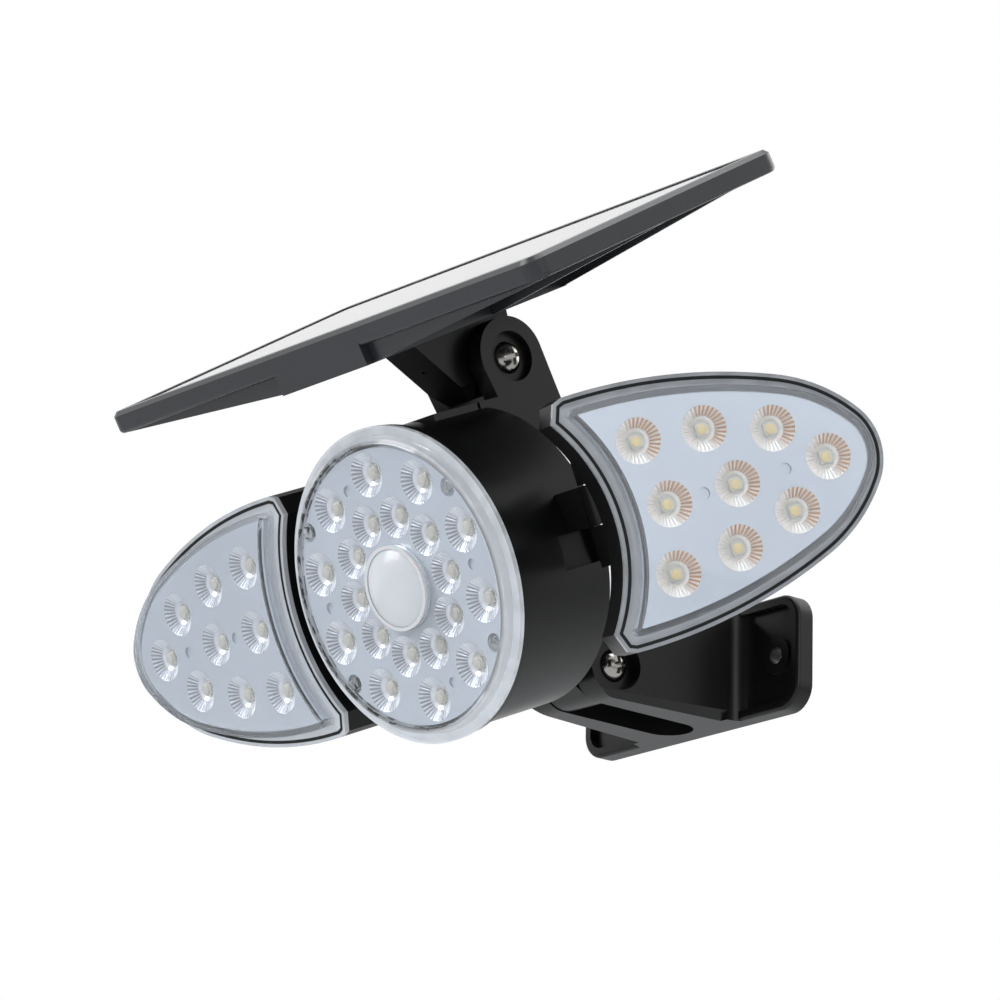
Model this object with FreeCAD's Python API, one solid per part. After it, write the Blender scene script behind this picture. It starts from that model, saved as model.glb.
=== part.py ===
"""Solar motion sensor security light: a round head with two hinged wing lamps,
a tilting solar panel above it and a wall bracket behind it.

Millimetres.  The origin is the centre of the wall plate's back face, +Z is up
and the lamp looks towards -Y, away from the wall.

The head, each wing and the panel are drawn in frames of their own, where they
face -Y (the panel faces +Z), and are set in place at the end of this file.
"""
import FreeCAD
import Part
import math
import os

from FreeCAD import Placement, Rotation, Vector

# ---------------------------------------------------------------- wall bracket
PLATE_WIDTH = 98.0
PLATE_HEIGHT = 36.0
PLATE_THICKNESS = 6.0
PLATE_CORNER_R = 8.0
PLATE_RIM = 3.0              # rim left standing round the front recess
PLATE_RECESS = 2.5
WALL_HOLE_SPACING = 75.0
WALL_HOLE_R = 2.6
WALL_BOSS_R = 5.6            # raised pad round each wall screw hole
WALL_BOSS_RISE = 1.0
PLATE_EDGE_R = 1.2
NECK_NOSE_HALF = 16.0        # centre plane to the outside of the neck at its nose
NECK_ROOT_HALF = 21.5        # the same where the flare begins
NECK_FLARE = 6.0             # concave radius where the neck meets the plate
NECK_NOSE_R = 10.2
NECK_NOSE_BEVEL = 1.6        # bevel under the neck's flanks, at the nose
NECK_ROOT_BEVEL = 2.8        # the same where the flare begins
SLOT_HALF = 8.0              # centre plane to the inside of a cheek
SLOT_END = 14.6              # wall to the centre of the slot's round end
WEB_THICKNESS = 3.0          # roof between the cheeks

# ------------------------------------------------------------ main (head) pivot
HEAD_PIVOT_REACH = 49.4      # wall to pivot
HEAD_PIVOT_DROP = 7.4        # pivot below the plate's centre
HEAD_PIVOT_HALF = 16.6       # half length of the pivot screw's seat to the nut's seat
HEAD_TILT = 24.0             # degrees below the horizon, as photographed

# ------------------------------------------------------------- pivot screws, M5
SCREW_R = 2.5
SCREW_HEAD_R = 5.0
SCREW_HEAD_HEIGHT = 3.2
SCREW_NUT_FLATS = 8.0
SCREW_NUT_HEIGHT = 4.0
SCREW_RECESS = 2.4           # how deep heads and nuts sit in their ears
SCREW_RECESS_R = 7.8
RUNNING_FIT = 0.05           # radial clearance of a pin in its bore
FIT = 0.1                    # clearance of pieces that drop into a pocket
TAPPING_R = 1.4              # small self-tapping screws
TAPPING_HEAD_R = 2.8
TAPPING_HEAD_HEIGHT = 1.8

# ------------------------------------------------------------------ round head
LENS_R = 48.0                # flange of the clear cover
LENS_FLANGE = 1.6
LENS_FACE_R = 44.5
LENS_RISE = 3.4              # face in front of the flange
LENS_WALL = 1.8
LIP_R = 47.6                 # housing's front lip
LIP_DEPTH = 3.6
DRUM_R = 46.0
DRUM_WALL = 4.0
DRUM_DEPTH = 36.0            # lens flange plane to the drum's back edge
LEDGE_WIDTH = 1.8
LEDGE_DEPTH = 3.0
SEAL_WIDTH = 1.5
SEAL_DEPTH = 1.0
COVER_FLANGE = 2.5
COVER_CONE_R = 38.0
COVER_BACK_R = 28.0
COVER_DEPTH = 20.0           # how far the rear cover stands behind the drum
COVER_WALL = 2.5
COVER_SCREW_ANGLE = 62.0
COVER_SCREW_LENGTH = 12.0
FLAT_TOP = 36.7              # flats on the drum's flanks, heights from its axis
FLAT_FOOT = 19.0
FLAT_START = 12.0
FLAT_START_DEPTH = 1.2       # how deep a flat is at its foot, where it starts
FLAT_END_DEPTH = 3.4         # the same at the drum's back edge
FLANGE_SETBACK = 3.0         # rear cover's flange inside the flats
POCKET_START = 21.0          # shallow pocket under each hinge arm
POCKET_HEIGHT = 10.2
POCKET_DEPTH = 3.2

# ------------------------------------------------------------- lamps, all three
REFLECTOR_DEPTH = 3.2
BOARD_THICKNESS = 1.6
LED_SIZE = 3.4
LED_HEIGHT = 0.8
CUP_R = 6.8                  # rim of a reflector cup
CUP_FOOT_R = 2.7
SMALL_CUP_R = 6.3            # cups of the head's inner ring
CUP_COUNT = 10               # cups in each ring
OUTER_RING_R = 34.5
INNER_RING_R = 21.1
INNER_RING_TURN = 18.0       # degrees the inner ring is turned from the outer
REFLECTOR_GAP = 2.6          # lens face wall to the reflector's edge
DIMPLE_R = 1.8
DIMPLE_DEPTH = 0.6
PEG_R = 1.9                  # clear locating pegs of the head lens
PEG_NOTCH_R = 2.9
PEG_RING_R = 40.2
PEG_ANGLE = 36.0

# ---------------------------------------------------------------- motion sensor
COLLAR_R = 12.9
COLLAR_WALL = 1.1
COLLAR_SHOULDER = 1.4
COLLAR_RISE = 0.9            # collar in front of the lens face
DOME_RISE = 3.6
DOME_SHELL = 1.0
DOME_RIM = 1.0
SENSOR_R = 4.6
SENSOR_HEIGHT = 4.2
SENSOR_FLANGE_R = 5.2

# ------------------------------------------------------------- inside the head
CELL_R = 9.2
CELL_LENGTH = 65.0
CELL_NUB_R = 3.0
CELL_NUB = 1.5
CELL_Y = 27.0                # lens flange plane to the cells' axes
CELL_PITCH = 19.6
HOLDER_WALL = 1.8
HOLDER_DEPTH = 13.0
HOLDER_LUG = 3.6
HOLDER_LUG_PITCH = 47.0
CONTROL_WIDTH = 60.0
CONTROL_HEIGHT = 44.0
CONTROL_Y = 10.0
CONTROL_PEG_R = 2.0
BUTTON_R = 5.7
BUTTON_PROUD = 2.2
BUTTON_FLANGE = 1.2
BUTTON_LEDGE = 1.3
BUTTON_Z = 12.0
BUTTON_SLACK = 0.3           # radial play of the button in the cover
SWITCH_SIZE = 6.2
SWITCH_HEIGHT = 3.4
SWITCH_POST_X = 9.6          # posts of the switch board, clear of the button
SWITCH_PLUNGER_R = 1.7
SWITCH_PLUNGER = 1.0
BUTTON_TRAVEL = 1.2
TOUCH_GAP = 0.2              # button to switch plunger when pressed

# ---------------------------------------------------- ears, lug and panel pivot
PANEL_PIVOT_Y = 54.4         # from the lens flange plane
PANEL_PIVOT_Z = 56.8         # above the head's axis
EAR_R = 12.4
EAR_HALF_WIDTH = 14.0
EAR_GAP_HALF = 8.0
EAR_FOOT_Y = 69.0
EAR_FOOT_Z = 38.0
EAR_FLOOR_Z = 42.5           # floor between the ears
EAR_SADDLE_Z = 46.0          # flat on the crown, beside and in front of the ears
SADDLE_START = 17.0
SADDLE_END = 35.0
LUG_PIVOT_Y = 56.7
LUG_PIVOT_Z = -41.0
LUG_R = 9.9
LUG_HALF_WIDTH = 7.5

# ----------------------------------------------------------------- wing hinges
HINGE_X = 59.2               # hinge axis from the head's axis
HINGE_Y = 30.0               # behind the lens flange plane
KNUCKLE_R = 6.0
ARM_FOOT_Z = 0.5
ARM_HEIGHT = 12.0
ARM_DEPTH = 10.0
KNUCKLE_GAP = 0.4            # between knuckles on one pin
LOWER_KNUCKLE = 12.0
UPPER_KNUCKLE = 10.0
PIN_R = 2.0
PIN_HEAD_R = 3.6
PIN_HEAD = 1.4
PIN_TAIL = 1.2

# ---------------------------------------------------------------------- wings
WING_GAP = 5.0               # lens flange to the wing's concave edge
WING_CORNER_X = 45.0         # the three corner points of the outline
WING_CORNER_Z = 36.8
WING_ARC_END_Z = 31.1
WING_SHOULDER_X = 47.8
WING_FLANK_R = 159.0         # long flank, its centre on this column
WING_FLANK_X = 53.0
WING_HALF_HEIGHT = 38.0
WING_SIDE_R = 48.0           # between flank and tip
WING_TIP_R = 18.5
WING_LENGTH = 135.8          # head's axis to the wing's tip
WING_SETBACK = 1.5           # wing flange behind the head's flange
WING_DEPTH = 16.0
WING_WALL = 3.2
WING_BACK = 2.2
WING_EDGE = 1.6              # bevel round the shell's back
WING_LENS_INSET = 4.3
WING_LENS_RISE = 5.6
WING_SEAL_INSET = 1.1
WING_SEAL_WIDTH = 1.0
WING_PLATE_INSET = 6.2
WING_PLATE_FRONT = 2.3       # reflector in front of the head's flange plane
WING_SWIVEL_RIGHT = 62.0     # degrees outwards, as photographed
WING_SWIVEL_LEFT = 3.0
WING_CUPS = ((65.0, 19.8), (84.8, 17.8), (104.5, 12.3))   # and mirrored below
WING_MID_CUPS = (68.5, 89.6, 118.0)
WING_SCREWS = (79.2, 104.6)
WING_POST_R = 3.6

# ----------------------------------------------------------------- solar panel
PANEL_LENGTH = 202.0
PANEL_DEPTH = 109.0
PANEL_CORNER_R = 5.5
PANEL_TILT = 32.0            # rear edge up, as photographed
PANEL_RIM = 5.4              # tray's edge height
PANEL_EDGE_R = 1.5
PANEL_SKIN = 2.0
PANEL_TRAY_WALL = 2.5
BEZEL_HEIGHT = 1.6
BEZEL_WIDTH = 6.5
BEZEL_CHAMFER = 1.3
GLASS_RECESS = 0.3           # glass below the bezel's top
CELL_SHEET = 0.6
PANEL_PIVOT_BACK = 5.9       # pivot behind the panel's middle
PANEL_PIVOT_BELOW = 27.4     # pivot under the tray's top edge
SPINE_HALF_WIDTH = 20.0      # raised box under the tray
SPINE_FRONT_DEPTH = 11.3
SPINE_BACK_DEPTH = 14.8
SPINE_LENGTH = 87.0
SPINE_WALL = 2.0
RIB_THICKNESS = 2.0
RIB_SETBACK = 3.0
ARM_TOP_FRONT = -23.0        # panel arm's root under the spine, along the depth
ARM_TOP_BACK = 17.6
ARM_HALF_WIDTH = 7.0
ARM_KNUCKLE_HALF = 7.6
ARM_KNUCKLE_R = 8.6
ARM_CHIN = (-8.6, -34.8)     # depth and height of the lip in front of the knuckle
ARM_LIP = 2.4
ARM_LIP_HEIGHT = 5.0
ARM_LIP_HALF = 4.4
ARM_SCREWS = (-16.0, 11.0)
ARM_SCREW_GRIP = 8.0

# ------------------------------------------------------------- worked-out places
FLANGE_FRONT = -LENS_FLANGE / 2
FLANGE_BACK = LENS_FLANGE / 2
LENS_FACE_Y = FLANGE_FRONT - LENS_RISE
DRUM_INNER_R = DRUM_R - DRUM_WALL
REFLECTOR_FRONT = LENS_FACE_Y + LENS_WALL + 0.5
BOARD_FRONT = REFLECTOR_FRONT + REFLECTOR_DEPTH
BOARD_BACK = BOARD_FRONT + BOARD_THICKNESS
REFLECTOR_R = LENS_FACE_R - REFLECTOR_GAP
BOARD_R = DRUM_INNER_R - 0.4
COVER_BACK = DRUM_DEPTH + COVER_DEPTH
COVER_INSIDE = COVER_BACK - COVER_WALL
WING_FLANGE_FRONT = WING_SETBACK + FLANGE_FRONT
WING_FLANGE_BACK = WING_SETBACK + FLANGE_BACK
WING_BACK_Y = WING_SETBACK + WING_DEPTH
WING_BOARD_FRONT = REFLECTOR_DEPTH - WING_PLATE_FRONT
WING_BOARD_BACK = WING_BOARD_FRONT + BOARD_THICKNESS
ARM_TOP_Z = ARM_FOOT_Z + ARM_HEIGHT
KNUCKLE_BOTTOM = ARM_FOOT_Z - KNUCKLE_GAP - LOWER_KNUCKLE
KNUCKLE_TOP = ARM_TOP_Z + KNUCKLE_GAP + UPPER_KNUCKLE
ARM_BACK_Y = DRUM_DEPTH
ARM_FRONT_Y = DRUM_DEPTH - ARM_DEPTH
X_AXIS = Vector(1, 0, 0)
Y_AXIS = Vector(0, 1, 0)
Z_AXIS = Vector(0, 0, 1)


# ---------------------------------------------------------------- shape helpers
def box(x0, x1, y0, y1, z0, z1):
    return Part.makeBox(x1 - x0, y1 - y0, z1 - z0, Vector(x0, y0, z0))


def rod_x(radius, x0, x1, y, z):
    return Part.makeCylinder(radius, x1 - x0, Vector(x0, y, z), X_AXIS)


def rod_y(radius, y0, y1, x=0.0, z=0.0):
    return Part.makeCylinder(radius, y1 - y0, Vector(x, y0, z), Y_AXIS)


def rod_z(radius, z0, z1, x, y):
    return Part.makeCylinder(radius, z1 - z0, Vector(x, y, z0), Z_AXIS)


def cone_y(radius0, radius1, y0, y1, x=0.0, z=0.0):
    return Part.makeCone(radius0, radius1, y1 - y0, Vector(x, y0, z), Y_AXIS)


def prism_x(points, x0, x1):
    """Extrude a (y, z) polygon from x0 to x1."""
    corners = [Vector(x0, y, z) for y, z in points]
    face = Part.Face(Part.makePolygon(corners + corners[:1]))
    return face.extrude(Vector(x1 - x0, 0, 0))


def prism_z(points, z0, z1):
    """Extrude an (x, y) polygon from z0 to z1."""
    corners = [Vector(x, y, z0) for x, y in points]
    face = Part.Face(Part.makePolygon(corners + corners[:1]))
    return face.extrude(Vector(0, 0, z1 - z0))


def prism_y(points, y0, y1):
    """Extrude an (x, z) polygon from y0 to y1."""
    corners = [Vector(x, y0, z) for x, z in points]
    face = Part.Face(Part.makePolygon(corners + corners[:1]))
    return face.extrude(Vector(0, y1 - y0, 0))


def turned(points):
    """Turn an (r, y) polygon round the Y axis."""
    corners = [Vector(r, y, 0) for r, y in points]
    face = Part.Face(Part.makePolygon(corners + corners[:1]))
    return face.revolve(Vector(0, 0, 0), Y_AXIS, 360)


def rounded_slab(width, height, corner, y0, y1):
    """A plate in the XZ plane with rounded corners."""
    slab = box(-width / 2, width / 2, y0, y1, -height / 2, height / 2)
    edges = [e for e in slab.Edges if abs(e.BoundBox.YLength - (y1 - y0)) < 1e-6]
    return slab.makeFillet(corner, edges)


def joined(first, *others):
    shape = first
    for other in others:
        shape = shape.fuse(other)
    return shape.removeSplitter()


def mirrored(shape):
    return shape.mirror(Vector(0, 0, 0), X_AXIS)


def both_sides(shape):
    return [shape, mirrored(shape)]


def on_ring(radius, angle):
    turn = math.radians(angle)
    return radius * math.cos(turn), radius * math.sin(turn)


def tangent_hull(radius, y, z, foot_y, foot_z, side):
    """Where the line from (foot_y, foot_z) touches the circle on that side."""
    away = math.hypot(foot_y - y, foot_z - z)
    facing = math.atan2(foot_z - z, foot_y - y)
    turn = facing + side * math.acos(radius / away)
    return y + radius * math.cos(turn), z + radius * math.sin(turn)


def pan_screw(radius, length, head_r, head_height, recess_width):
    """Pan head with a cross recess; the seat is at z = 0 and the shank below."""
    shank = rod_z(radius, -length, 0, 0, 0)
    bulge = (head_r ** 2 + head_height ** 2) / (2 * head_height)
    ball = Part.makeSphere(bulge, Vector(0, 0, head_height - bulge))
    head = ball.common(rod_z(head_r, 0, head_height, 0, 0))
    arm = head_r * 0.55
    depth = head_height * 0.5
    half = recess_width / 2
    low = head_height - depth
    cross = box(-arm, arm, -half, half, low, head_height).fuse(
        box(-half, half, -arm, arm, low, head_height))
    return joined(shank, head.cut(cross))


def aimed(shape, x, y, z, direction):
    """Move a shape drawn along +Z so that it points along a direction."""
    copy = shape.copy()
    copy.Placement = Placement(Vector(x, y, z), Rotation(Z_AXIS, direction))
    return copy


def hexagon_prism(flats, x0, x1, y, z):
    corner = flats / math.sqrt(3)
    points = []
    for side in range(6):
        turn = math.radians(60 * side)
        points.append((y + corner * math.cos(turn), z + corner * math.sin(turn)))
    return prism_x(points, x0, x1)


# --------------------------------------------------------------- pivot hardware
def pivot_screw(half_width, y, z):
    """Screw through a fork, its head on the +X side."""
    seat = half_width - SCREW_RECESS
    length = 2 * half_width - SCREW_RECESS
    screw = pan_screw(SCREW_R, length, SCREW_HEAD_R, SCREW_HEAD_HEIGHT, 1.3)
    return aimed(screw, seat, y, z, X_AXIS)


def pivot_nut(half_width, y, z):
    outer = -half_width + SCREW_RECESS - SCREW_NUT_HEIGHT + SCREW_RECESS
    inner = -half_width + SCREW_RECESS + SCREW_RECESS
    nut = hexagon_prism(SCREW_NUT_FLATS, outer, inner, y, z)
    return nut.cut(rod_x(SCREW_R, outer, inner, y, z))


def pivot_holes(half_width, y, z):
    """Bore, head counterbore and nut pocket, to be cut from a fork."""
    outside = half_width + 4
    bore = rod_x(SCREW_R + RUNNING_FIT, -outside, outside, y, z)
    head = rod_x(SCREW_RECESS_R, half_width - SCREW_RECESS, outside, y, z)
    nut_floor = -half_width + 2 * SCREW_RECESS
    nut = hexagon_prism(SCREW_NUT_FLATS + 2 * FIT, -outside, nut_floor, y, z)
    return [bore, head, nut]


# ------------------------------------------------------------------ wall bracket
def wall_plate():
    plate = rounded_slab(PLATE_WIDTH, PLATE_HEIGHT, PLATE_CORNER_R, -PLATE_THICKNESS, 0)
    front = [e for e in plate.Edges if e.BoundBox.YMax < -PLATE_THICKNESS + 1e-6]
    plate = plate.makeFillet(PLATE_EDGE_R, front)
    recess = rounded_slab(PLATE_WIDTH - 2 * PLATE_RIM, PLATE_HEIGHT - 2 * PLATE_RIM,
                          PLATE_CORNER_R - PLATE_RIM, -PLATE_THICKNESS - 1,
                          -PLATE_THICKNESS + PLATE_RECESS)
    return plate.cut(recess)


def neck_top(y):
    """Height of the neck's sloping top at a place between wall and nose."""
    floor = -PLATE_THICKNESS + PLATE_RECESS
    top = PLATE_HEIGHT / 2 - 1
    touch_y, touch_z = tangent_hull(NECK_NOSE_R, -HEAD_PIVOT_REACH, -HEAD_PIVOT_DROP, floor, top, 1)
    return touch_z + (top - touch_z) * (y - touch_y) / (floor - touch_y), touch_y


def neck_side(inset, start, bottom):
    """Side view of the neck as (y, z) corners, its top lowered by an inset."""
    floor = -PLATE_THICKNESS + PLATE_RECESS
    return [(floor, bottom), (floor, neck_top(floor)[0] - inset),
            (start, neck_top(start)[0] - inset), (start, bottom)]


def bracket_neck():
    pivot_y, pivot_z = -HEAD_PIVOT_REACH, -HEAD_PIVOT_DROP
    floor = -PLATE_THICKNESS + PLATE_RECESS
    low = -PLATE_HEIGHT / 2
    touch_y = neck_top(0)[1]
    foot_y, foot_z = tangent_hull(NECK_NOSE_R, pivot_y, pivot_z, floor, low, -1)
    side = neck_side(0, touch_y, low)[:3] + [(pivot_y, pivot_z), (foot_y, foot_z)]
    wide = PLATE_WIDTH / 2
    body = joined(prism_x(side, -wide, wide), rod_x(NECK_NOSE_R, -wide, wide, pivot_y, pivot_z))
    nose_y = pivot_y - NECK_NOSE_R
    flare_y = floor - NECK_FLARE
    root = NECK_ROOT_HALF
    plan = prism_z([(-NECK_NOSE_HALF, nose_y), (NECK_NOSE_HALF, nose_y), (root, flare_y),
                    (root, floor), (-root, floor), (-root, flare_y)],
                   -PLATE_HEIGHT, PLATE_HEIGHT)
    flare = box(root, root + NECK_FLARE, flare_y, floor, -PLATE_HEIGHT, PLATE_HEIGHT)
    flare = flare.cut(rod_z(NECK_FLARE, -PLATE_HEIGHT, PLATE_HEIGHT, root + NECK_FLARE, flare_y))
    return body.common(joined(plan, *both_sides(flare)))


def bevel_corner(x, y, z, bevel):
    """Triangle that takes a bevel off a lower outer corner, in the plane y."""
    spare = 2.0
    corners = [Vector(x - bevel - spare, y, z - spare), Vector(x + spare, y, z + bevel + spare),
               Vector(x + spare, y, z - spare)]
    return Part.makePolygon(corners + corners[:1])


def neck_bevel():
    """Wedge that bevels the neck's lower edge on the +X side."""
    floor = -PLATE_THICKNESS + PLATE_RECESS
    low = -PLATE_HEIGHT / 2
    foot_y, foot_z = tangent_hull(NECK_NOSE_R, -HEAD_PIVOT_REACH, -HEAD_PIVOT_DROP,
                                  floor, low, -1)
    nose_y = -HEAD_PIVOT_REACH - NECK_NOSE_R
    flare_y = floor - NECK_FLARE
    fall = (low - foot_z) / (floor - foot_y)
    nose = bevel_corner(NECK_NOSE_HALF, nose_y, foot_z + fall * (nose_y - foot_y),
                        NECK_NOSE_BEVEL)
    root = bevel_corner(NECK_ROOT_HALF, flare_y, foot_z + fall * (flare_y - foot_y),
                        NECK_ROOT_BEVEL)
    return Part.makeLoft([nose, root], True, True)


def bracket_slot():
    """Room for the head's lug, roofed over near the wall."""
    web_front = -HEAD_PIVOT_REACH + LUG_R + 2.0
    front = box(-SLOT_HALF, SLOT_HALF, -2 * HEAD_PIVOT_REACH, web_front,
                -PLATE_HEIGHT, PLATE_HEIGHT)
    tunnel = prism_x(neck_side(WEB_THICKNESS, web_front - 1, -PLATE_HEIGHT), -SLOT_HALF, SLOT_HALF)
    plan = joined(box(-SLOT_HALF, SLOT_HALF, web_front - 1, -SLOT_END, -PLATE_HEIGHT, PLATE_HEIGHT),
                  rod_z(SLOT_HALF, -PLATE_HEIGHT, PLATE_HEIGHT, 0, -SLOT_END))
    return front.fuse(tunnel.common(plan))


def wall_bracket():
    floor = -PLATE_THICKNESS + PLATE_RECESS
    hole_places = (-WALL_HOLE_SPACING / 2, WALL_HOLE_SPACING / 2)
    bosses = [rod_y(WALL_BOSS_R, floor - WALL_BOSS_RISE, floor, x) for x in hole_places]
    body = joined(wall_plate(), bracket_neck(), *bosses).cut(bracket_slot())
    for tool in both_sides(neck_bevel()):
        body = body.cut(tool)
    for tool in pivot_holes(HEAD_PIVOT_HALF, -HEAD_PIVOT_REACH, -HEAD_PIVOT_DROP):
        body = body.cut(tool)
    for x in hole_places:
        body = body.cut(rod_y(WALL_HOLE_R, -2 * PLATE_THICKNESS, 1, x))
    return body


# ------------------------------------------------------------------ head, shells
def drum_flat(sign, setback=0.0):
    """Wedge cut from the +X flank above or below the hinge arm, deepest at the back."""
    end = DRUM_DEPTH + COVER_FLANGE
    foot_x = math.sqrt(DRUM_R ** 2 - FLAT_FOOT ** 2) - setback
    top_x = math.sqrt(DRUM_R ** 2 - FLAT_TOP ** 2) - setback
    corner = Vector(foot_x - FLAT_START_DEPTH, FLAT_START, FLAT_FOOT)
    along = Vector(foot_x - FLAT_END_DEPTH, end, FLAT_FOOT) - corner
    across = Vector(top_x, FLAT_START, FLAT_TOP) - corner
    block = box(-DRUM_R, DRUM_R, -DRUM_R, DRUM_R, 0, DRUM_R)
    block = aimed(block, corner.x, corner.y, corner.z, across.cross(along))
    wedge = block.common(box(0, DRUM_R + 5, FLAT_START, end + 1, FLAT_FOOT, FLAT_TOP))
    return wedge if sign > 0 else wedge.mirror(Vector(0, 0, 0), Z_AXIS)


def drum_flats(setback=0.0):
    wedges = []
    for sign in (1, -1):
        wedges += both_sides(drum_flat(sign, setback))
    return wedges


def arm_root(inside):
    """The hinge arm's stretch through the drum's wall."""
    return box(inside, HINGE_X, ARM_FRONT_Y, ARM_BACK_Y, ARM_FOOT_Z, ARM_TOP_Z)


def cover_screw_places():
    places = []
    for angle in (COVER_SCREW_ANGLE, 180 - COVER_SCREW_ANGLE,
                  180 + COVER_SCREW_ANGLE, -COVER_SCREW_ANGLE):
        places.append(on_ring((DRUM_R + DRUM_INNER_R) / 2 - 2, angle))
    return places


def seal_ring():
    middle = (DRUM_INNER_R + LIP_R) / 2
    outer = rod_y(middle + SEAL_WIDTH / 2, FLANGE_BACK, FLANGE_BACK + SEAL_DEPTH)
    return outer.cut(rod_y(middle - SEAL_WIDTH / 2, FLANGE_BACK, FLANGE_BACK + SEAL_DEPTH))


def head_housing():
    lip_back = FLANGE_BACK + LIP_DEPTH
    ledge_r = DRUM_INNER_R - LEDGE_WIDTH
    shell = turned([(DRUM_INNER_R, FLANGE_BACK), (LIP_R, FLANGE_BACK), (LIP_R, lip_back - 0.8),
                    (DRUM_R, lip_back), (DRUM_R, DRUM_DEPTH), (DRUM_INNER_R, DRUM_DEPTH),
                    (DRUM_INNER_R, BOARD_BACK + LEDGE_DEPTH), (ledge_r, BOARD_BACK + LEDGE_DEPTH),
                    (ledge_r, BOARD_BACK), (DRUM_INNER_R, BOARD_BACK)])
    posts = []
    for x, z in cover_screw_places():
        post = rod_y(TAPPING_R + 2.2, DRUM_DEPTH - COVER_SCREW_LENGTH - 2, DRUM_DEPTH, x, z)
        posts.append(post)
    saddle = box(-EAR_HALF_WIDTH, EAR_HALF_WIDTH, SADDLE_START, SADDLE_END,
                 (DRUM_R + DRUM_INNER_R) / 2 - 1, EAR_SADDLE_Z)
    shell = joined(shell, saddle, *posts)
    for wedge in drum_flats():
        shell = shell.cut(wedge)
    pocket = box(DRUM_R - POCKET_DEPTH, DRUM_R + 1, POCKET_START, DRUM_DEPTH,
                 ARM_FOOT_Z - POCKET_HEIGHT, ARM_FOOT_Z)
    for tool in both_sides(pocket) + both_sides(arm_root(DRUM_INNER_R - 4)):
        shell = shell.cut(tool)
    for x, z in cover_screw_places():
        shell = shell.cut(rod_y(TAPPING_R, DRUM_DEPTH - COVER_SCREW_LENGTH, DRUM_DEPTH, x, z))
    return shell.cut(seal_ring())


def hinge_arm():
    """Arm that passes through the drum's flank and carries the +X wing."""
    root = arm_root(DRUM_INNER_R - 4).cut(rod_y(DRUM_INNER_R - 0.3, 0, COVER_BACK))
    barrel = rod_z(KNUCKLE_R, ARM_FOOT_Z, ARM_TOP_Z, HINGE_X, HINGE_Y)
    arm = joined(root, barrel)
    return arm.cut(rod_z(PIN_R + RUNNING_FIT, ARM_FOOT_Z - 1, ARM_TOP_Z + 1, HINGE_X, HINGE_Y))


def cover_cavity():
    flange_back = DRUM_DEPTH + COVER_FLANGE
    front_r = COVER_CONE_R - COVER_WALL
    back_r = COVER_BACK_R - COVER_WALL
    return turned([(0, DRUM_DEPTH), (front_r, DRUM_DEPTH), (front_r, flange_back),
                   (back_r, COVER_INSIDE), (0, COVER_INSIDE)])


def clevis_block():
    """Saddle on the rear cover with the two ears for the panel's arm."""
    y, z = PANEL_PIVOT_Y, PANEL_PIVOT_Z
    front_foot = (y - EAR_R + 2.0, EAR_SADDLE_Z)
    touch_front = tangent_hull(EAR_R, y, z, front_foot[0], front_foot[1], -1)
    touch_back = tangent_hull(EAR_R, y, z, EAR_FOOT_Y, EAR_FOOT_Z, 1)
    root = [(EAR_FOOT_Y, EAR_FOOT_Z), (COVER_BACK, COVER_BACK_R - 6), (DRUM_DEPTH, COVER_BACK_R)]
    base = [(DRUM_DEPTH, EAR_FLOOR_Z), (EAR_FOOT_Y - 0.8, EAR_FLOOR_Z)] + root
    ear = [(DRUM_DEPTH, EAR_SADDLE_Z), front_foot, touch_front, (y, z), touch_back] + root
    pieces = [prism_x(base, -EAR_HALF_WIDTH, EAR_HALF_WIDTH)]
    for x0, x1 in ((EAR_GAP_HALF, EAR_HALF_WIDTH), (-EAR_HALF_WIDTH, -EAR_GAP_HALF)):
        pieces.append(prism_x(ear, x0, x1))
        pieces.append(rod_x(EAR_R, x0, x1, y, z))
    return joined(*pieces)


def pivot_lug():
    """Tongue under the rear cover that sits between the bracket's cheeks."""
    y, z = LUG_PIVOT_Y, LUG_PIVOT_Z
    front = (DRUM_DEPTH + COVER_FLANGE, -COVER_CONE_R + 4)
    back = (COVER_BACK, -COVER_BACK_R + 6)
    touch_front = tangent_hull(LUG_R, y, z, front[0], front[1], 1)
    neck = [front, touch_front, (y, z), (y + LUG_R, z), (y + LUG_R - 3, z + LUG_R), back]
    return joined(prism_x(neck, -LUG_HALF_WIDTH, LUG_HALF_WIDTH),
                  rod_x(LUG_R, -LUG_HALF_WIDTH, LUG_HALF_WIDTH, y, z))


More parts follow.
